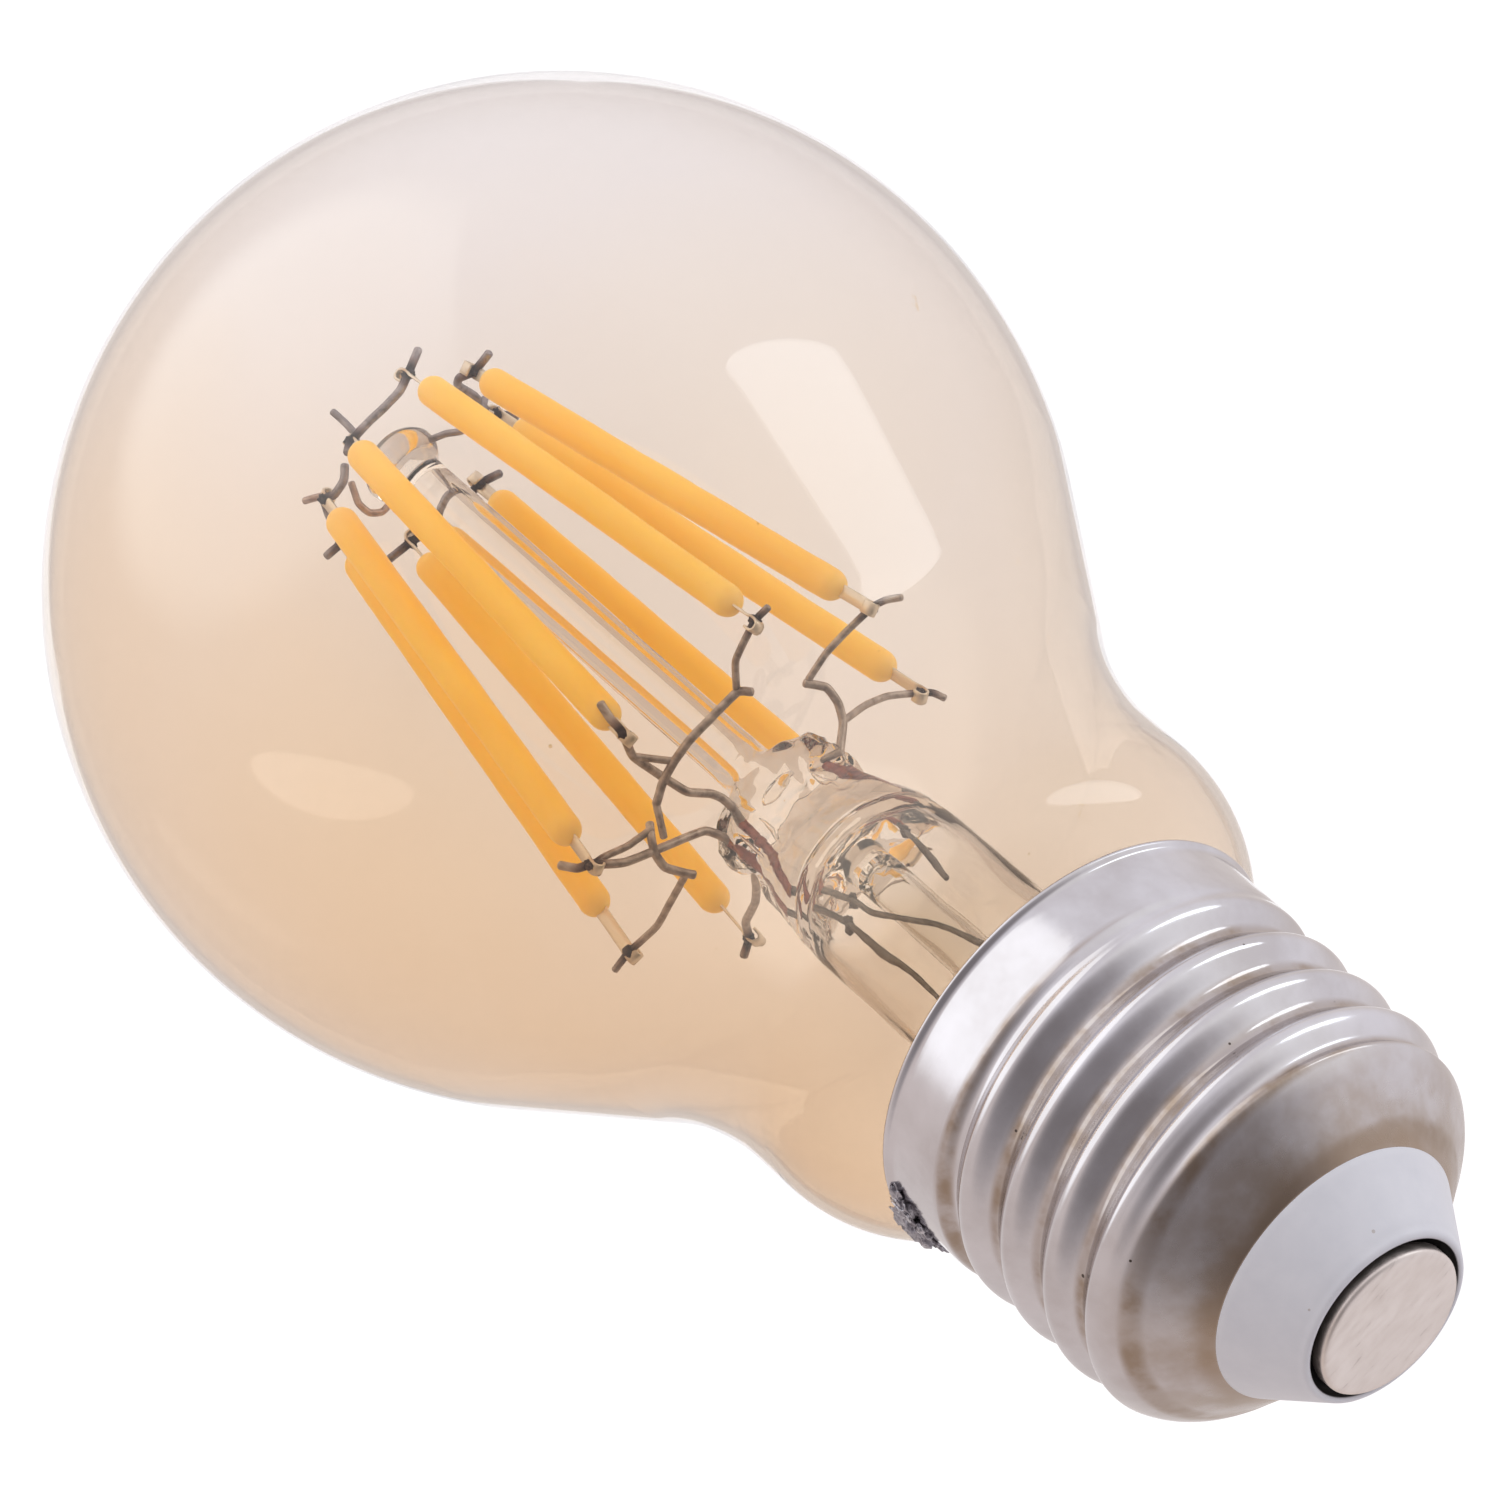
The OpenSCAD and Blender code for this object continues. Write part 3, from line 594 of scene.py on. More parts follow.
def make_stem(mat):
    """Button, rod, pinch, tube and flare, fused together. The pinch was squeezed from two sides."""
    button = [(-90.18, 0.4), (-90.12, 1.2), (-89.95, 1.8), (-89.6, 2.25), (-89.15, 2.48), (-88.7, 2.42),
              (-88.35, 2.2), (-88.12, 1.9), (-87.8, 1.72), (-87.2, 1.64)]
    sections = [(z, r, r) for z, r in button]
    sections += [(-86.0 + 30.0 * k / 16, ROD_R, ROD_R) for k in range(16)]
    sections += [(-55.5, 1.66, 1.66), (-55.0, 1.76, 1.72), (-54.65, 1.98, 1.8), (-54.4, 2.4, 1.88),
                 (-54.2, 2.85, 1.95), (-54.0, 3.3, 2.02), (-53.75, 3.7, 2.1), (-53.45, 4.03, 2.16),
                 (-53.1, 4.28, 2.2), (-52.7, 4.43, 2.22), (-52.2, 4.5, 2.2), (-51.6, 4.44, 2.1),
                 (-50.9, 4.36, 2.02), (-50.1, 4.3, 2.02), (-49.4, 4.3, 2.2), (-48.6, 4.4, 2.7),
                 (-47.8, 4.6, 3.3), (-47.0, 4.85, 3.95), (-46.2, 5.08, 4.5), (-45.4, 5.28, 4.95),
                 (-44.6, 5.45, 5.28), (-43.8, 5.55, 5.5), (-43.0, 5.6, 5.6)]
    sections += [(z, TUBE_R, TUBE_R) for z in (-42, -40, -38, -36, -34.5)]
    steps = 22
    low, high = -33.0, SEAM_Z - 0.8
    end_r = TAIL_R - WALL - 0.05

    def flare(u):
        return TUBE_R + (end_r - TUBE_R) * u ** 3

    for k in range(steps + 1):
        u = k / steps
        sections.append((low + (high - low) * u, flare(u), flare(u)))
    inside = []
    for k in range(steps, -1, -1):
        u = k / steps
        slope = 3 * (end_r - TUBE_R) * u ** 2 / (high - low)
        r = flare(u) - WALL * math.sqrt(1 + slope ** 2)
        inside.append((low + (high - low) * u, r, r))
    inside += [(z, TUBE_R - WALL, TUBE_R - WALL) for z in (-35, -38, -41, -43)]
    inside += [(-44.0, 4.9, 4.9), (-44.6, 4.6, 4.5), (-45.0, 4.2, 4.1), (-45.3, 3.8, 3.6),
               (-45.5, 3.3, 3.1), (-45.65, 2.8, 2.6), (-45.75, 2.2, 2.0), (-45.8, 1.5, 1.4),
               (-45.8, 0.7, 0.7)]
    nubs = [((-2.9, 0.2), 1.5), ((3.05, -1.0), 0.7), ((4.2, -0.9), 0.6)]
    bottom_z = -43.5
    sides = 144
    rings = []
    for number, (z, half_x, half_y) in enumerate(sections + inside):
        squash = smooth_step(-55.2, -53.8, z) * (1 - smooth_step(-49.5, -46.5, z))
        power = 1 + 0.55 * squash
        ring = []
        for k in range(sides):
            a = 2 * math.pi * k / sides
            c, s = math.cos(a), math.sin(a)
            x = half_x * math.copysign(abs(c) ** (2 / (1 + power)), c)
            y = half_y * math.copysign(abs(s) ** (2 / (1 + power)), s)
            wave = 1 + (0.012 + 0.16 * squash) * noise.noise(Vector((x, y, z)) * 0.8)
            spot = Vector((stem_centre(z) + x * wave, y * wave, z))
            if number > len(sections) and z < bottom_z:
                spot.z += nub_height(spot, nubs)
            ring.append(spot)
        rings.append(ring)
    glass = Parts()
    glass.add(*rings_to_mesh(rings))
    voids = [((0.4, -0.6, -52.4), (1.1, 0.12, 0.5)), ((2.2, -0.5, -50.6), (0.12, 0.1, 1.3)),
             ((3.6, -1.2, -50.8), (0.12, 0.1, 1.2)), ((-1.6, -0.5, -50.2), (0.14, 0.1, 1.2))]
    for n, (centre, size) in enumerate(voids):
        verts, faces = lump(centre, size, 60.0 + n, 0.3, detail=1.2, rows=14, sides=20)
        glass.add(verts, [face[::-1] for face in faces])
    obj = glass.make("stem_glass", mat, "stem_glass", "stem_tube", "centre_rod")
    obj.visible_shadow = False


def make_exhaust(mat):
    """Exhaust tube up the middle of the stem, sealed off at its tip."""
    bore = EXHAUST_R - 0.3
    profile = [(0.3, -45.7), (EXHAUST_R + 0.1, -45.6), (EXHAUST_R, -45.2), (EXHAUST_R, -44.4)]
    profile += [(EXHAUST_R, -44.4 + 21.0 * k / 10) for k in range(1, 11)]
    profile += arc(0, -21.6, EXHAUST_R, 20, 88, 8)
    profile += [(0.1, -21.4)]
    profile += arc(0, -22.2, bore, 0, 80, 6)[::-1]
    profile += [(bore, -22.2 - 22.4 * k / 10) for k in range(1, 11)]
    profile += [(0.2, -45.0)]
    verts, faces = turned(profile, segments=48, centre=0.15, closed=False)
    obj = piece("exhaust_glass", verts, faces, mat, "stem_glass", "exhaust_tube")
    obj.visible_shadow = False


# ---- Filaments ----

def tip(i, ring_x, ring_r, z):
    a = math.radians(FILAMENTS[i][0])
    return Vector((ring_x + ring_r * math.cos(a), ring_r * math.sin(a), z))


def crown_tip(i):
    return tip(i, 0.0, CROWN_RING_R, CROWN_RING_Z)


def cap_tip(i):
    return tip(i, CAP_RING_X, CAP_RING_R, CAP_RING_Z)


def crown_weld(number):
    """Where a filament's tab meets its wire at the crown. Filaments count from 1 here."""
    i = number - 1
    along = (cap_tip(i) - crown_tip(i)).normalized()
    return crown_tip(i) - along * FILAMENTS[i][2]


def cap_weld(number):
    i = number - 1
    along = (cap_tip(i) - crown_tip(i)).normalized()
    return cap_tip(i) + along * FILAMENTS[i][3]


def filament_axes(i):
    """A filament's two ends, and its directions: along it, outwards, and across its strip."""
    low, high = crown_tip(i), cap_tip(i)
    along = (high - low).normalized()
    angle, turn = math.radians(FILAMENTS[i][0]), math.radians(FILAMENTS[i][1])
    out = Vector((math.cos(angle), math.sin(angle), 0))
    out = (out - along * out.dot(along)).normalized()
    across = Matrix.Rotation(turn, 3, along) @ out
    return low, high, along, out, across


def make_filament(i, mat):
    """Phosphor coat: a rod with domed ends that thin out over the strip."""
    low, high, along, out, _ = filament_axes(i)
    side = along.cross(out)
    length = (high - low).length
    dome, body = 10, 60
    rows = []
    for k in range(1, dome + 1):
        u = math.radians(90 * k / dome)
        rows.append((-COAT_R * math.cos(u), COAT_R * math.sin(u)))
    rows += [(length * k / body, COAT_R) for k in range(1, body)]
    for k in range(dome, 0, -1):
        u = math.radians(90 * k / dome)
        rows.append((length + COAT_R * math.cos(u) * 1.15, COAT_R * math.sin(u)))
    rings, thin = [], []
    sides = 40
    for along_mm, r in rows:
        ring = []
        for k in range(sides):
            a = 2 * math.pi * k / sides
            d = out * math.cos(a) + side * math.sin(a)
            p = low + along * along_mm
            uneven = 1 + 0.035 * noise.noise(p * 0.35 + d * 0.5) + 0.012 * noise.noise(p * 1.6 + d)
            ring.append(p + d * r * uneven)
        rings.append(ring)
        end = min(along_mm + COAT_R, length + COAT_R - along_mm)
        thin += [math.exp(-max(end, 0.0) / 0.8)] * sides
    verts, faces = rings_to_mesh(rings)
    piece(f"filament_coat_{i + 1}", verts, faces, mat, "phosphor", f"filament_{i + 1}", marks_and_painted_shade=thin)


def tab_path(start, weld, hook, reach):
    """From inside the coat to the weld, then folded back round the wire."""
    along = (weld - start).normalized()
    hook = (hook - along * hook.dot(along)).normalized()
    path = [start, start.lerp(weld, 0.5), weld - along * 0.55, weld - along * 0.2 - hook * 0.06]
    path += [weld + along * 0.25 - hook * 0.05, weld + along * 0.5 + hook * 0.12]
    path += [weld + along * 0.52 + hook * 0.45, weld + along * 0.3 + hook * 0.62,
             weld - along * reach + hook * 0.60]
    return spline(path, 5)


def make_strip(i, mat):
    """The filament's metal strip with both tabs folded round their wires."""
    low, high, along, _, across = filament_axes(i)
    number = i + 1
    hook = along.cross(across)
    parts = Parts()
    for start, weld in ((low + along * 1.5, crown_weld(number)), (high - along * 1.5, cap_weld(number))):
        path = tab_path(start, weld, hook, 0.15)
        verts, faces = ribbon(path, across, TAB_W, TAB_T)
        heat = [0.9 * math.exp(-((v - weld).length / 0.5) ** 2) for v in verts]
        parts.add(verts, faces, heat)
    parts.make(f"filament_tabs_{number}", mat, "strip_metal", f"filament_strip_{number}")


# ---- Wires ----
# The routes are the real wires' bends, in round numbers, and pass through the welds.

def wires(name, slot_name, mat, nodes, routes, welds, diameter, seed):
    """One group of wires: each route is a list of points, with its own diameter where it has one."""
    parts = Parts()
    for n, route in enumerate(routes):
        path = spline(route, 6, 0.27)
        parts.add(*sweep(path, diameter[n] / 2, seed + n, 0.014, burnt=welds))
    for n, spot in enumerate(welds):
        verts, faces = lump(spot, (0.36, 0.34, 0.38), seed + n * 1.3, 0.55)
        parts.add(verts, faces, [1.0] * len(verts))
    parts.make(name, mat, slot_name, *nodes)


def make_leads(mat):
    """Cap-end leads and the short wires that carry each pair of filaments."""
    lead_1 = [(-2.4, 0, -51.8), (-3.3, 0, -51.4), (-4.2, 0.25, -52.3), (-5, 0.5, -53.2), (-5.6, 0, -54),
              (-5.8, -0.75, -54.8), (-5.2, -1.6, -55.5)]
    to_f1 = [(-5.5, -1.6, -55.5), (-7.2, -2, -55.5), (-8.8, -2.5, -55.1), cap_weld(1),
             (-11.6, -3.1, -54.1), (-12.3, -3.25, -53.3)]
    to_f2 = [(-5, 0.5, -53.2), (-6.5, 2.5, -54.2), (-7.8, 4.6, -54.9), cap_weld(2), (-9.7, 6.9, -54.2),
             (-9.9, 7.2, -53.6)]
    wires("lead_wires_1", "lead_wire", mat["lead"], ("inner_lead_1", "branch_wires_1"),
          [lead_1, to_f1, to_f2], [cap_weld(1), cap_weld(2)], (LEAD_D, BRANCH_D, BRANCH_D), 1.0)

    lead_2 = [(3, -1, -52.4), (2.75, -1.6, -53.4), (2.75, -2.2, -54.1), (3, -3.1, -54.3),
              (3.75, -4.6, -54.5), (4, -6, -55.2), (4.25, -9, -55.8), cap_weld(5), (3.5, -11.6, -56.8),
              (3.25, -12, -57.7)]
    bar_2 = [(-2.8, -6.9, -54.1), (-2.25, -7.1, -54.7), (0, -7.5, -54.6), (1.5, -7.75, -54.5),
             (3, -7.5, -54.5), (4.25, -7, -54.5), (5.4, -6.5, -54.2)]
    to_f3 = [(-2.3, -7.1, -54.8), (-3.5, -8.8, -55), (-5, -9.6, -55), cap_weld(3), (-6.9, -10, -54.9)]
    to_f5 = [(4.25, -9, -55.8), (3.7, -8.3, -55.3), (3, -7.5, -54.6)]
    tail_2 = [(5.4, -6.5, -54.2), (6, -6, -53.5), (6.5, -5.5, -53)]
    wires("lead_wires_2", "lead_wire", mat["lead"], ("inner_lead_2", "branch_wires_2"),
          [lead_2, bar_2, to_f3, to_f5, tail_2], [cap_weld(5), cap_weld(3)],
          (LEAD_D, LEAD_D, BRANCH_D, BRANCH_D, BRANCH_D), 2.0)

    lead_3 = [(4.2, -1, -52.5), (4.75, -2, -53.6), (6.75, -4, -53.5), (9, -5.6, -53.8), cap_weld(7),
              (11, -7.2, -54.9), (11.5, -7.5, -55.7)]
    bar_3 = [(6.5, -5, -54.7), (7, -5, -54), (7.5, -4.5, -53.5), (7.75, -3.5, -53), (7.3, -2.9, -52.2),
             (7, -2.5, -51.8)]
    to_f7 = [(6.6, -5.1, -54.3), (8.2, -5.6, -54.4), (9.5, -6.2, -54.7),
             cap_weld(7) + Vector((0.2, -0.3, 0.2))]
    to_f8 = [(7.3, -2.7, -52.1), (9, -1.5, -52.5), (10.6, -0.5, -52.8), cap_weld(8), (14, 0.5, -53.7)]
    wires("lead_wires_3", "lead_wire", mat["lead"], ("inner_lead_3", "branch_wires_3"),
          [lead_3, bar_3, to_f7, to_f8], [cap_weld(7), cap_weld(8)],
          (LEAD_D, LEAD_D, BRANCH_D, BRANCH_D), 3.0)

    lead_4 = [(3.8, 0.9, -51.2), (4.75, 2.1, -51.8), (5.25, 4, -52.5), (6, 6, -53.2), (7.2, 8, -54.2),
              cap_weld(6), (8.8, 9.9, -54)]
    to_f4 = [(4.75, 2.4, -51.9), (3, 5, -52.6), (0.4, 8.6, -53.8), cap_weld(4), (-2.8, 12.2, -54.4)]
    wires("lead_wires_4", "lead_wire", mat["lead"], ("inner_lead_4", "branch_wires_4"),
          [lead_4, to_f4], [cap_weld(6), cap_weld(4)], (LEAD_D, BRANCH_D), 4.0)


def make_crown_wires(mat):
    """Crown-end supports out of the button, and the bars that join two filaments each."""
    support_1 = [(-1.3, 0.1, -88.9), (-2.4, 0, -88.1), (-3.2, 0, -87.3), (-4.6, 0.6, -87.5),
                 (-5.5, 1.2, -88.6)]
    bar_1 = [(-7.6, -2.2, -87.9), crown_weld(1), (-5.4, -2, -88.5), (-5, -1, -89), (-5.2, 1, -89.1),
             (-5, 3.2, -89.2), crown_weld(2), (-5.9, 3.9, -88)]
    support_2 = [(1.1, -1.3, -89.1), (1.5, -2.8, -89), (1.6, -4.6, -88.7), (1.2, -6.1, -88.1)]
    bar_2 = [(-5, -5, -89.8), crown_weld(3), (-2.5, -5.5, -88.4), (-1.2, -5.8, -88.2), (0, -6, -88.2),
             crown_weld(5), (2.2, -6.6, -87.4)]
    stub_2 = [(1, -6.5, -90.3), (1, -6.2, -89.3), (1.1, -6.1, -88.2)]
    support_3 = [(1.9, -0.4, -88.7), (2.7, -0.8, -87.2), (3.5, -1.4, -86.7), (4, -2, -86.9),
                 (4, -2.6, -87.5), (3.4, -3.2, -88.4)]
    bar_3 = [(2.9, -4.1, -88.9), (3.6, -4, -88.3), (4.6, -3.8, -88.3), crown_weld(7), (5.6, -2.4, -88.9),
             (6, -1, -88.9), crown_weld(8), (7.6, 0.1, -88.8)]
    stub_3 = [(5, -3.6, -89), (5.5, -3.5, -89.5), (6, -3.5, -89.9)]
    support_4 = [(1.1, 1.2, -89), (1.7, 2.8, -88.7), (2.3, 4.2, -88.6), (2.4, 5.4, -88.6)]
    bar_4 = [(-2.8, 6.9, -88.5), crown_weld(4), (0.4, 6.2, -88.6), (2.4, 5.6, -88.6), crown_weld(6),
             (5.3, 4.9, -88.9)]
    groups = [
        (1, [support_1], [bar_1], [crown_weld(1), crown_weld(2)]),
        (2, [support_2, stub_2], [bar_2], [crown_weld(3), crown_weld(5)]),
        (3, [support_3, stub_3], [bar_3], [crown_weld(7), crown_weld(8)]),
        (4, [support_4], [bar_4], [crown_weld(4), crown_weld(6)]),
    ]
    for number, supports, bars, welds in groups:
        warm = mat["warm"] if number == 3 else mat["support"]
        wires(f"crown_support_wire_{number}", "support_wire", warm, (f"crown_support_{number}",),
              supports, [], (BRANCH_D,) * 2, 10.0 + number)
        wires(f"crown_bar_wire_{number}", "support_wire", mat["support"], (f"crown_bar_{number}",),
              bars, welds, (LEAD_D,), 20.0 + number)


def make_seals(mat):
    """Copper-clad wires through the pinch, each with its small beads."""
    routes = [
        [(-2.3, 0, -51.4), (-2.6, 0, -49.7), (-2.9, 0, -47.8), (-3, 0.2, -45.9)],
        [(3, -1.0, -52.5), (3.05, -1.05, -50.6), (3.2, -1.1, -48.6), (3.15, -1.0, -45.9)],
        [(4.2, -0.9, -52.5), (4.1, -0.9, -50.6), (4.25, -0.95, -48.6), (4.3, -0.9, -45.9)],
    ]
    for n, route in enumerate(routes):
        parts = Parts()
        parts.add(*sweep(spline(route, 8), SEAL_R, 30.0 + n, 0.06, sides=16))
        for along, size in ((1, 0.34), (2, 0.3)):
            spot = Vector(route[along])
            verts, faces = lump(spot, (size, size, 0.5), 31.0 + n + along, 0.5)
            parts.add(verts, faces)
        parts.make(f"seal_{n + 1}", mat, "seal_copper", f"seal_wire_{n + 1}")


def make_outer_leads(mat):
    """Dark leads below the pinch, with the knot of their butt weld: one cut short, two to the driver."""
    routes = [
        [(-3, 0.2, -46), (-2.6, 0.1, -44.2), (-2.4, 0, -42), (-2.2, -0.1, -40.5)],
        [(3.15, -1, -46), (2.75, -1, -45.2), (2.25, -1, -43.75), (2, -1.2, -42), (1, -1.8, -39.5),
         (0, -2.2, -37.2), (-0.5, -2.4, -35.5), (-0.9, -2.6, -33), (-1.2, -3, -28), (-1.5, -4, -18.2)],
        [(4.3, -0.9, -46), (3.7, -1, -44.6), (3.3, -1, -42.8), (3.25, -1.1, -39.5), (3, -1.3, -37),
         (2.9, -1.5, -34), (2.5, -2.4, -28), (2, -4, -18.2)],
    ]
    knots = [(-2.8, 0.15, -45.2), (2.25, -1, -43.75), (3.3, -1, -42.8)]
    for n, (route, knot) in enumerate(zip(routes, knots)):
        parts = Parts()
        parts.add(*sweep(spline(route, 8), OUTER_D / 2, 40.0 + n, 0.03))
        for k in range(3):
            spot = Vector(knot) + Vector((0.12 * (k - 1), 0.06 * k, 0.22 * (k - 1)))
            verts, faces = lump(spot, (0.26, 0.26, 0.3), 41.0 + n * 3 + k, 0.6)
            parts.add(verts, faces, [0.5] * len(verts))
        parts.make(f"outer_lead_wire_{n + 1}", mat, "tinned_wire", f"outer_lead_{n + 1}")


# ---- Cap ----

def shoulder_radius(z):
    end = math.radians(SHOULDER_TURN)
    end_z = SHOULDER_Z + SHOULDER_CURVE * math.sin(end)
    end_r = CREST_R - SHOULDER_CURVE * (1 - math.cos(end))
    if z < SHOULDER_Z:
        return CREST_R + 0.3
    if z < end_z:
        drop = math.sqrt(max(SHOULDER_CURVE ** 2 - (z - SHOULDER_Z) ** 2, 0.0))
        return CREST_R - SHOULDER_CURVE + drop + 0.3 * (1 - smooth_step(SHOULDER_Z, SHOULDER_Z + 1.2, z))
    return INSULATOR_R + (end_r - INSULATOR_R) * (SHELL_TOP_Z - z) / (SHELL_TOP_Z - end_z)


def thread_depth(a, z):
    """0 on the crest and 1 in the root of the right-hand thread."""
    crest = math.pi + 2 * math.pi * (z - CREST_START_Z) / PITCH
    return 0.5 - 0.5 * math.cos(a - crest)


def shell_radius(a, z):
    depth = thread_depth(a, z) * smooth_step(COLLAR_END_Z, COLLAR_END_Z + 1.5, z)
    depth *= 1 - 0.85 * smooth_step(-9.6, -7.4, z)
    return soft_min(COLLAR_R - 0.03 - (CREST_R - ROOT_R) * depth, shoulder_radius(z), 0.25)


def make_shell(mat):
    """Rolled sheet shell: flared rim, collar, right-hand knuckle thread and rounded shoulder."""
    rim = [(12.92, RIM_Z + 0.1), (13.05, RIM_Z), (13.25, RIM_Z), (13.38, RIM_Z + 0.07),
           (13.4, RIM_Z + 0.17)]
    rim += [(13.36, RIM_Z + 0.27), (13.24, RIM_Z + 0.36), (13.14, RIM_Z + 0.48), (COLLAR_R, RIM_Z + 0.7)]
    sides = 216
    rings, grime = [], []

    def ring_at(radius_of, z, tarnish):
        ring = []
        for k in range(sides):
            a = 2 * math.pi * k / sides
            r = radius_of(a)
            ring.append(Vector((r * math.cos(a), r * math.sin(a), z)))
            grime.append(tarnish(a))
        rings.append(ring)

    for r, z in rim:
        ring_at(lambda a: r, z, lambda a: 0.0)
    collar_rows, rows, inner_rows = 12, 270, 90
    for k in range(1, collar_rows):
        z = RIM_Z + 0.7 + (COLLAR_END_Z - RIM_Z - 0.7) * k / collar_rows
        ring_at(lambda a: COLLAR_R - 0.02 * math.sin(math.pi * k / collar_rows), z, lambda a: 0.0)
    for k in range(rows + 1):
        z = COLLAR_END_Z + (SHELL_TOP_Z - COLLAR_END_Z) * k / rows
        ring_at(lambda a: shell_radius(a, z), z, lambda a: smooth_step(0.75, 1.0, thread_depth(a, z)))
    ring_at(lambda a: INSULATOR_R - 0.06, SHELL_TOP_Z - 0.03, lambda a: 1.0)
    ring_at(lambda a: INSULATOR_R - 0.08, SHELL_TOP_Z - SHEET, lambda a: 1.0)
    for k in range(inner_rows, -1, -1):
        z = COLLAR_END_Z + (SHELL_TOP_Z - 0.6 - COLLAR_END_Z) * k / inner_rows
        ring_at(lambda a: shell_radius(a, z) - SHEET * 1.2, z, lambda a: 0.0)
    ring_at(lambda a: COLLAR_R - SHEET, RIM_Z + 0.5, lambda a: 0.0)
    verts, faces = rings_to_mesh(rings, closed=True)
    piece("shell", verts, faces, mat, "nickel_shell", "screw_shell", marks_and_painted_shade=grime)


def make_insulator(mat):
    """Conical insulator with the recess that holds the end contact. The faces round the recess and below it
    are marked for painted shade.
    """
    hole = CONTACT_R + 0.42
    profile = [(1.15, -1.35), (hole, -1.35), (hole + 0.02, -0.62), (hole + 0.08, -0.54),
               (hole + 0.2, -0.5)]
    profile += [(5.44, -0.52), (5.56, -0.6), (5.66, -0.74), (5.74, -0.92)]
    cone_r, cone_z, run = 5.86, -1.06, 10
    profile += [(cone_r + (INSULATOR_R - cone_r) * k / run,
                 cone_z + (SHELL_TOP_Z + 0.02 - cone_z) * k / run)
                for k in range(run + 1)]
    profile += [(INSULATOR_R - 0.02, -5.3), (8.9, -5.6), (8.9, -6.4), (7.0, -6.5), (4.6, -2.9),
                (1.15, -2.9)]
    verts, faces = turned(profile, segments=192)
    # Painted shade: the recess walls round the contact, and the faces below them, are marked to be coloured
    # near-black as a dark gap.
    painted_recess_shade = [1.0 if v.z < -0.56 and math.hypot(v.x, v.y) < hole + 0.05 else 0.0 for v in verts]
    piece("insulator", verts, faces, mat, "insulator", "cap_insulator", marks_and_painted_shade=painted_recess_shade)


def make_contact(mat):
    """Flat end contact with a rolled edge, and the stem that takes its wire."""
    profile = [(0.02, 0.0), (2.0, -0.005), (3.6, -0.01), (4.35, -0.02), (4.52, -0.045), (4.63, -0.1),
               (4.69, -0.19)]
    profile += [(CONTACT_R, -0.32), (CONTACT_R, -0.95), (4.5, -1.1), (1.1, -1.1), (1.05, -3.55),
                (0.02, -3.58)]
    verts, faces = turned(profile, segments=160, closed=False)
    piece("contact", verts, faces, mat, "contact_metal", "end_contact")


def make_solder(mat):
    """Rough drop of solder over the wire that is folded round the rim, with its smear up the shell."""
    parts = Parts()
    drops = [
        (-8.0, 13.3, -26.4, (0.42, 1.7, 0.8)), (-13.0, 13.3, -26.1, (0.34, 1.0, 0.65)),
        (0.0, 13.35, -26.3, (0.45, 1.3, 0.8)), (-4.0, 13.35, -27.0, (0.42, 1.3, 0.42)),
        (-18.0, 13.2, -26.5, (0.24, 0.8, 0.5)), (6.0, 13.2, -26.0, (0.26, 0.8, 0.6)),
        (-6.0, 13.2, -25.4, (0.24, 0.8, 0.6)),
    ]
    for n, (degrees, r, z, size) in enumerate(drops):
        verts, faces = lump((0, 0, 0), size, 50.0 + n * 2.1, 0.7, detail=2.6, rows=18, sides=26)
        turn = Matrix.Rotation(math.radians(degrees), 3, "Z")
        parts.add([turn @ (v + Vector((r, 0, 0))) + Vector((0, 0, z)) for v in verts], faces)
    parts.make("solder", mat, "solder", "rim_solder")


# ---- Driver inside the cap: the CAD solids are kept and get finished surfaces ----

def finish_driver():
    """Each solid's own moulded, painted, plated or printed surface."""
    black = ((0.012, 0.012, 0.014), (0.03, 0.03, 0.032))
    # CAD node, finish, its dark and light colours, roughness, metallic, grain scale, bump strength
    finishes = [
        ("cap_cement", "basing_cement", (0.66, 0.61, 0.52), (0.80, 0.76, 0.68), 0.8, 0.0, 1400, 0.5),
        ("driver_board", "board_mask", (0.02, 0.12, 0.05), (0.05, 0.22, 0.10), 0.35, 0.0, 700, 0.2),
        ("wireless_module", "module_mask", (0.015, 0.04, 0.10), (0.04, 0.09, 0.20), 0.35, 0.0, 700, 0.2),
        ("module_shield", "tin_can", (0.48, 0.48, 0.50), (0.66, 0.66, 0.68), 0.32, 1.0, 1500, 0.2),
        ("bulk_capacitor", "capacitor_sleeve", (0.02, 0.03, 0.06), (0.05, 0.07, 0.13), 0.3, 0.0, 600, 0.2),
        ("film_capacitor", "film_case", (0.42, 0.24, 0.03), (0.60, 0.36, 0.07), 0.35, 0.0, 800, 0.2),
        ("choke_coil", "ferrite", (0.03, 0.03, 0.035), (0.08, 0.075, 0.07), 0.55, 0.0, 1600, 0.2),
        ("bridge_rectifier", "rectifier_case", *black, 0.5, 0.0, 1800, 0.2),
        ("driver_chips", "chip_case", *black, 0.5, 0.0, 1800, 0.2),
        ("fuse_resistor", "resistor_coat", (0.07, 0.19, 0.24), (0.13, 0.30, 0.35), 0.45, 0.0, 1200, 0.2),
        ("insulating_sleeve", "sleeve_film", (0.66, 0.66, 0.64), (0.78, 0.78, 0.76), 0.5, 0.0, 500, 0.2),
    ]
    for node, *finish in finishes:
        carry(node, grained(*finish))
    tinned = grained("tinned_copper", (0.42, 0.40, 0.38), (0.62, 0.60, 0.57), 0.3, 1.0, 2000, 0.2)
    carry("contact_wire", tinned)
    carry("shell_wire", tinned)


# ---- Floor, camera and light ----

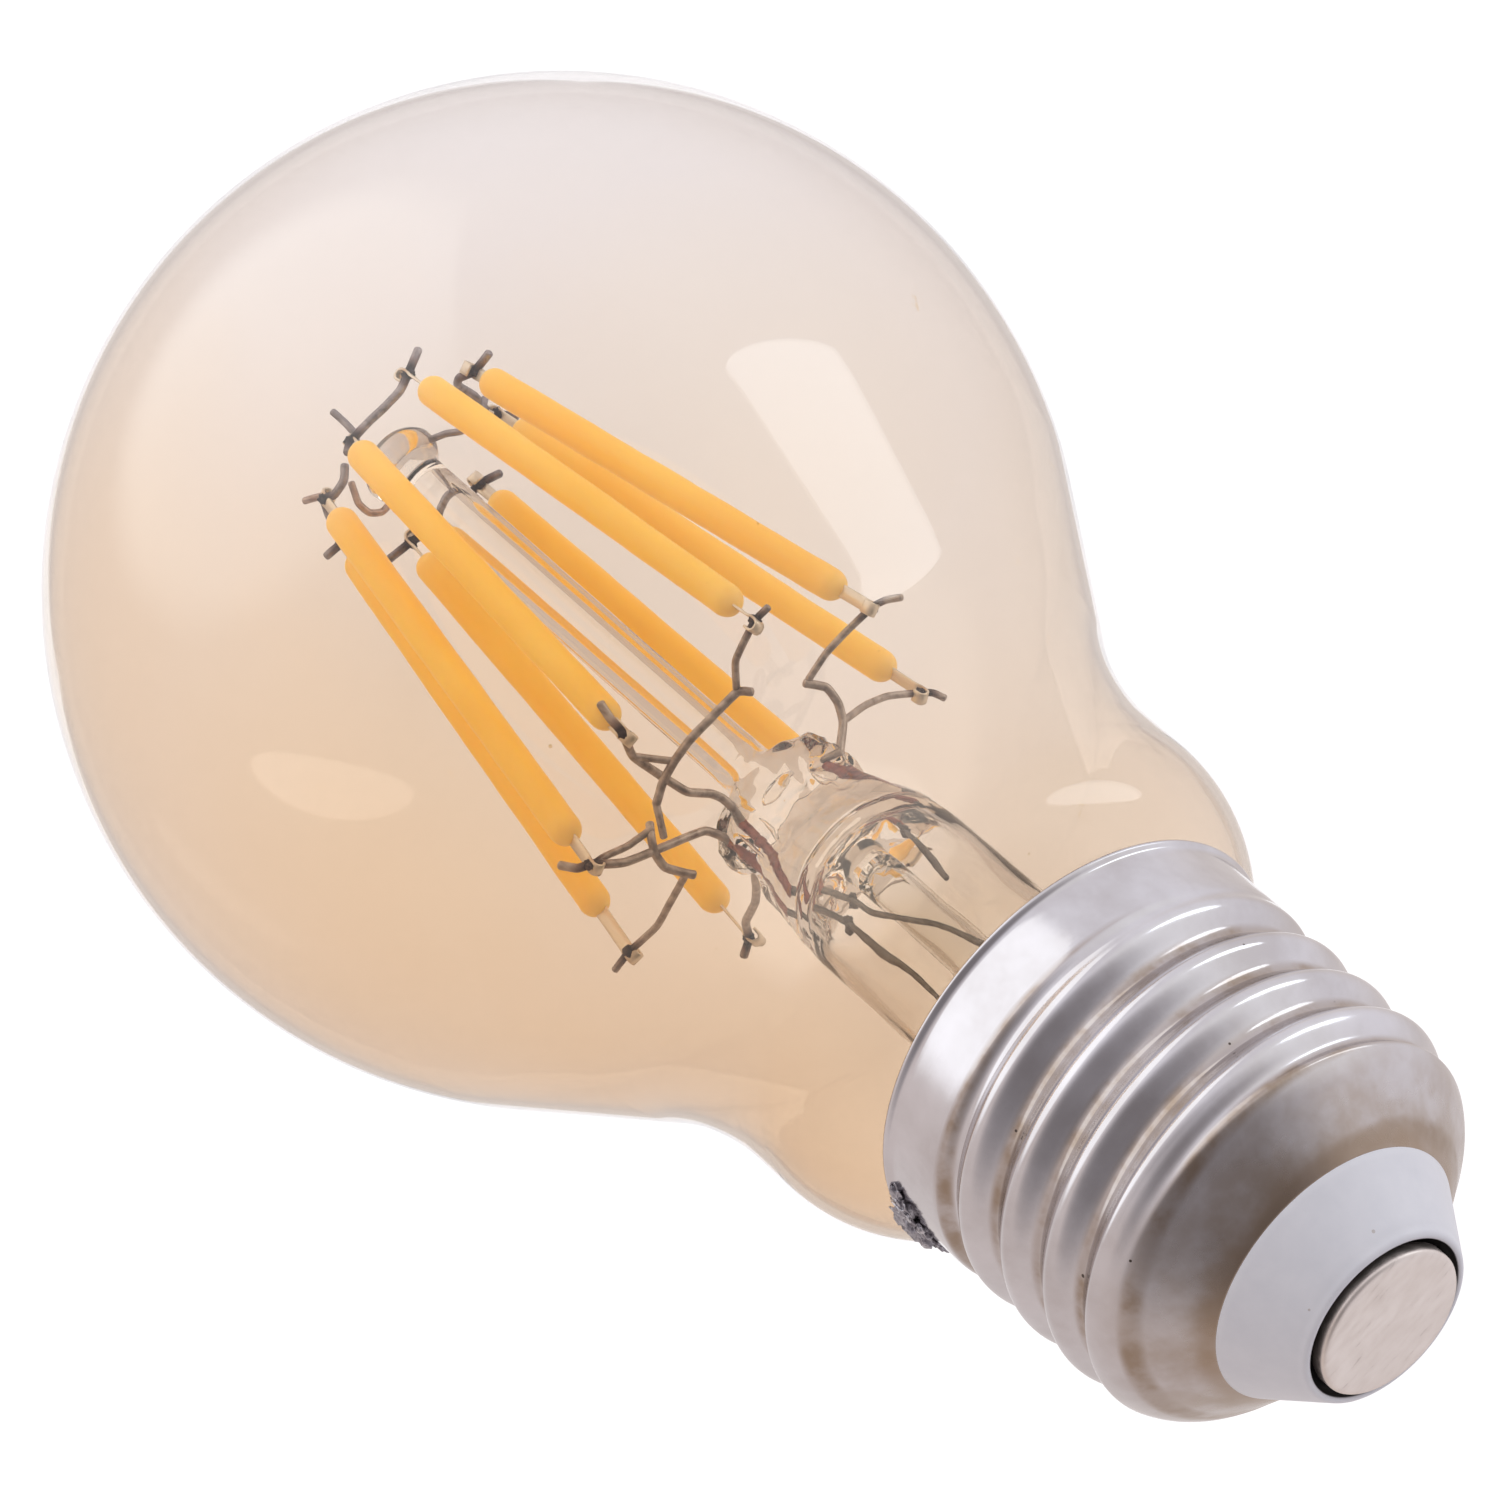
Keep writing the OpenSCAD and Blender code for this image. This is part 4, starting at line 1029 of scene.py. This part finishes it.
def make_floor():
    """Small plain floor under the bulb, in metres, as far out as the picture shows."""
    width, near, far, z = 0.42, 0.28, 1.08, -0.5
    cells = 8
    steps = [k / cells for k in range(cells + 1)]
    verts = [(width * (u - 0.5), near + (far - near) * v, z) for v in steps for u in steps]
    row = cells + 1
    corners = [j * row + i for j in range(cells) for i in range(cells)]
    faces = [(c, c + 1, c + row + 1, c + row) for c in corners]
    mesh = bpy.data.meshes.new("floor")
    mesh.from_pydata(verts, [], faces)
    mesh.materials.append(pale_floor())
    floor = bpy.data.objects.new("floor", mesh)
    bpy.context.scene.collection.objects.link(floor)


def make_camera():
    """Looks down at the cap from in front, rolled so that the bulb lies across the picture."""
    place, elevation, roll = Vector((-0.0003, -0.4566, 0.2714)), math.radians(35.69), math.radians(41.446)
    forward = Vector((0, math.cos(elevation), -math.sin(elevation)))
    rise = Vector((0, math.sin(elevation), math.cos(elevation)))
    right = rise * math.cos(roll) - Vector((1, 0, 0)) * math.sin(roll)
    up = -rise * math.sin(roll) - Vector((1, 0, 0)) * math.cos(roll)
    data = bpy.data.cameras.new("camera")
    data.lens = 238.1
    data.sensor_width = 36.0
    data.clip_start, data.clip_end = 0.01, 50.0
    camera = bpy.data.objects.new("camera", data)
    turn = Matrix((right, up, -forward)).transposed().to_4x4()
    camera.matrix_world = Matrix.Translation(place) @ turn
    bpy.context.scene.collection.objects.link(camera)
    bpy.context.scene.camera = camera


def sky_direction(azimuth, elevation):
    """Unit vector: azimuth 0 is on the camera's side, 90 towards +X."""
    a, e = math.radians(azimuth), math.radians(elevation)
    return Vector((math.sin(a) * math.cos(e), -math.cos(a) * math.cos(e), math.sin(e)))


class Sky:
    """World light made of regions of the sky, blended over each other."""

    def __init__(self, tree, below):
        self.tree, self.light = tree, below
        self.place = tree.nodes.new("ShaderNodeTexCoord").outputs["Generated"]

    def near(self, direction, inner, outer):
        """1 within one angle of a direction, fading to 0 at another."""
        facing = self.tree.nodes.new("ShaderNodeVectorMath")
        facing.operation = "DOT_PRODUCT"
        facing.inputs[1].default_value = direction
        self.tree.links.new(self.place, facing.inputs[0])
        fade = self.tree.nodes.new("ShaderNodeMapRange")
        fade.interpolation_type = "SMOOTHSTEP"
        fade.inputs["From Min"].default_value = math.cos(math.radians(outer))
        fade.inputs["From Max"].default_value = math.cos(math.radians(inner))
        self.tree.links.new(facing.outputs["Value"], fade.inputs["Value"])
        return fade.outputs["Result"]

    def both(self, a, b):
        product = self.tree.nodes.new("ShaderNodeMath")
        product.operation = "MULTIPLY"
        self.tree.links.new(a, product.inputs[0])
        self.tree.links.new(b, product.inputs[1])
        return product.outputs[0]

    def add(self, where, colour):
        blend = self.tree.nodes.new("ShaderNodeMix")
        blend.data_type = "RGBA"
        self.tree.links.new(where, blend.inputs[0])
        if isinstance(self.light, tuple):
            blend.inputs[6].default_value = (*self.light, 1.0)
        else:
            self.tree.links.new(self.light, blend.inputs[6])
        blend.inputs[7].default_value = (*colour, 1.0)
        self.light = blend.outputs[2]


def make_world():
    """Studio: pale, warmer right and behind, dark high in front, with a bright panel low in front."""
    world = bpy.data.worlds.new("studio")
    world.use_nodes = True
    tree = world.node_tree
    sky = Sky(tree, (0.93, 0.91, 0.95))
    sky.add(sky.near(sky_direction(95, -5), 20, 110), (0.74, 0.66, 0.63))
    sky.add(sky.near(sky_direction(180, -36), 25, 70), (0.80, 0.74, 0.72))
    sky.add(sky.near(sky_direction(-72, 14), 10, 45), (0.98, 0.97, 0.98))
    sky.add(sky.near(sky_direction(18, 60), 12, 68), (0.27, 0.25, 0.26))
    panel = sky.both(sky.near(sky_direction(8, -48), 32, 46), sky.near(sky_direction(86, -30), 95, 97))
    sky.add(panel, (1.42, 1.42, 1.43))
    background = tree.nodes["Background"]
    tree.links.new(sky.light, background.inputs["Color"])
    background.inputs["Strength"].default_value = 1.0
    bpy.context.scene.world = world


def make_side_light():
    """Oval softbox on the left, aimed at the bulb: the highlight on its head."""
    middle, distance = Vector((0, 0, -0.05)), 0.60
    towards = sky_direction(-84, 12)
    data = bpy.data.lights.new("side_box", "AREA")
    data.shape, data.size, data.size_y = "ELLIPSE", 0.43, 0.14
    data.energy, data.color = 0.24, (0.82, 0.92, 1.0)
    light = bpy.data.objects.new("side_box", data)
    light.location = middle + towards * distance
    light.rotation_mode = "QUATERNION"
    light.rotation_quaternion = towards.to_track_quat("Z", "Y")
    bpy.context.scene.collection.objects.link(light)


# ---- Assembly ----

make_camera()
make_world()
make_side_light()
make_floor()
bpy.context.scene.view_settings.view_transform = "Standard"

envelope_mat = amber_glass()
stem_mat = clear_glass("stem_clear", 0.55)
tube_mat = clear_glass("exhaust_clear", 0.12, 1.2)
make_envelope(envelope_mat)
make_stem(stem_mat)
make_exhaust(tube_mat)

coat_mat = phosphor()
strip_mat = plated_strip()
for index in range(len(FILAMENTS)):
    make_filament(index, coat_mat)
    make_strip(index, strip_mat)

wire_mats = {
    "lead": nickel_wire("lead_nickel", (0.28, 0.24, 0.22), (0.64, 0.57, 0.52)),
    "support": nickel_wire("support_nickel", (0.20, 0.18, 0.19), (0.48, 0.44, 0.45)),
    "warm": nickel_wire("support_warm", (0.36, 0.26, 0.22), (0.68, 0.55, 0.49)),
    "outer": nickel_wire("outer_dark", (0.08, 0.075, 0.07), (0.26, 0.24, 0.22)),
}
make_leads(wire_mats)
make_crown_wires(wire_mats)
make_seals(copper_seal())
make_outer_leads(wire_mats["outer"])

make_shell(nickel_shell())
make_insulator(pale_insulator())
make_contact(contact_metal())
make_solder(solder_metal())
finish_driver()
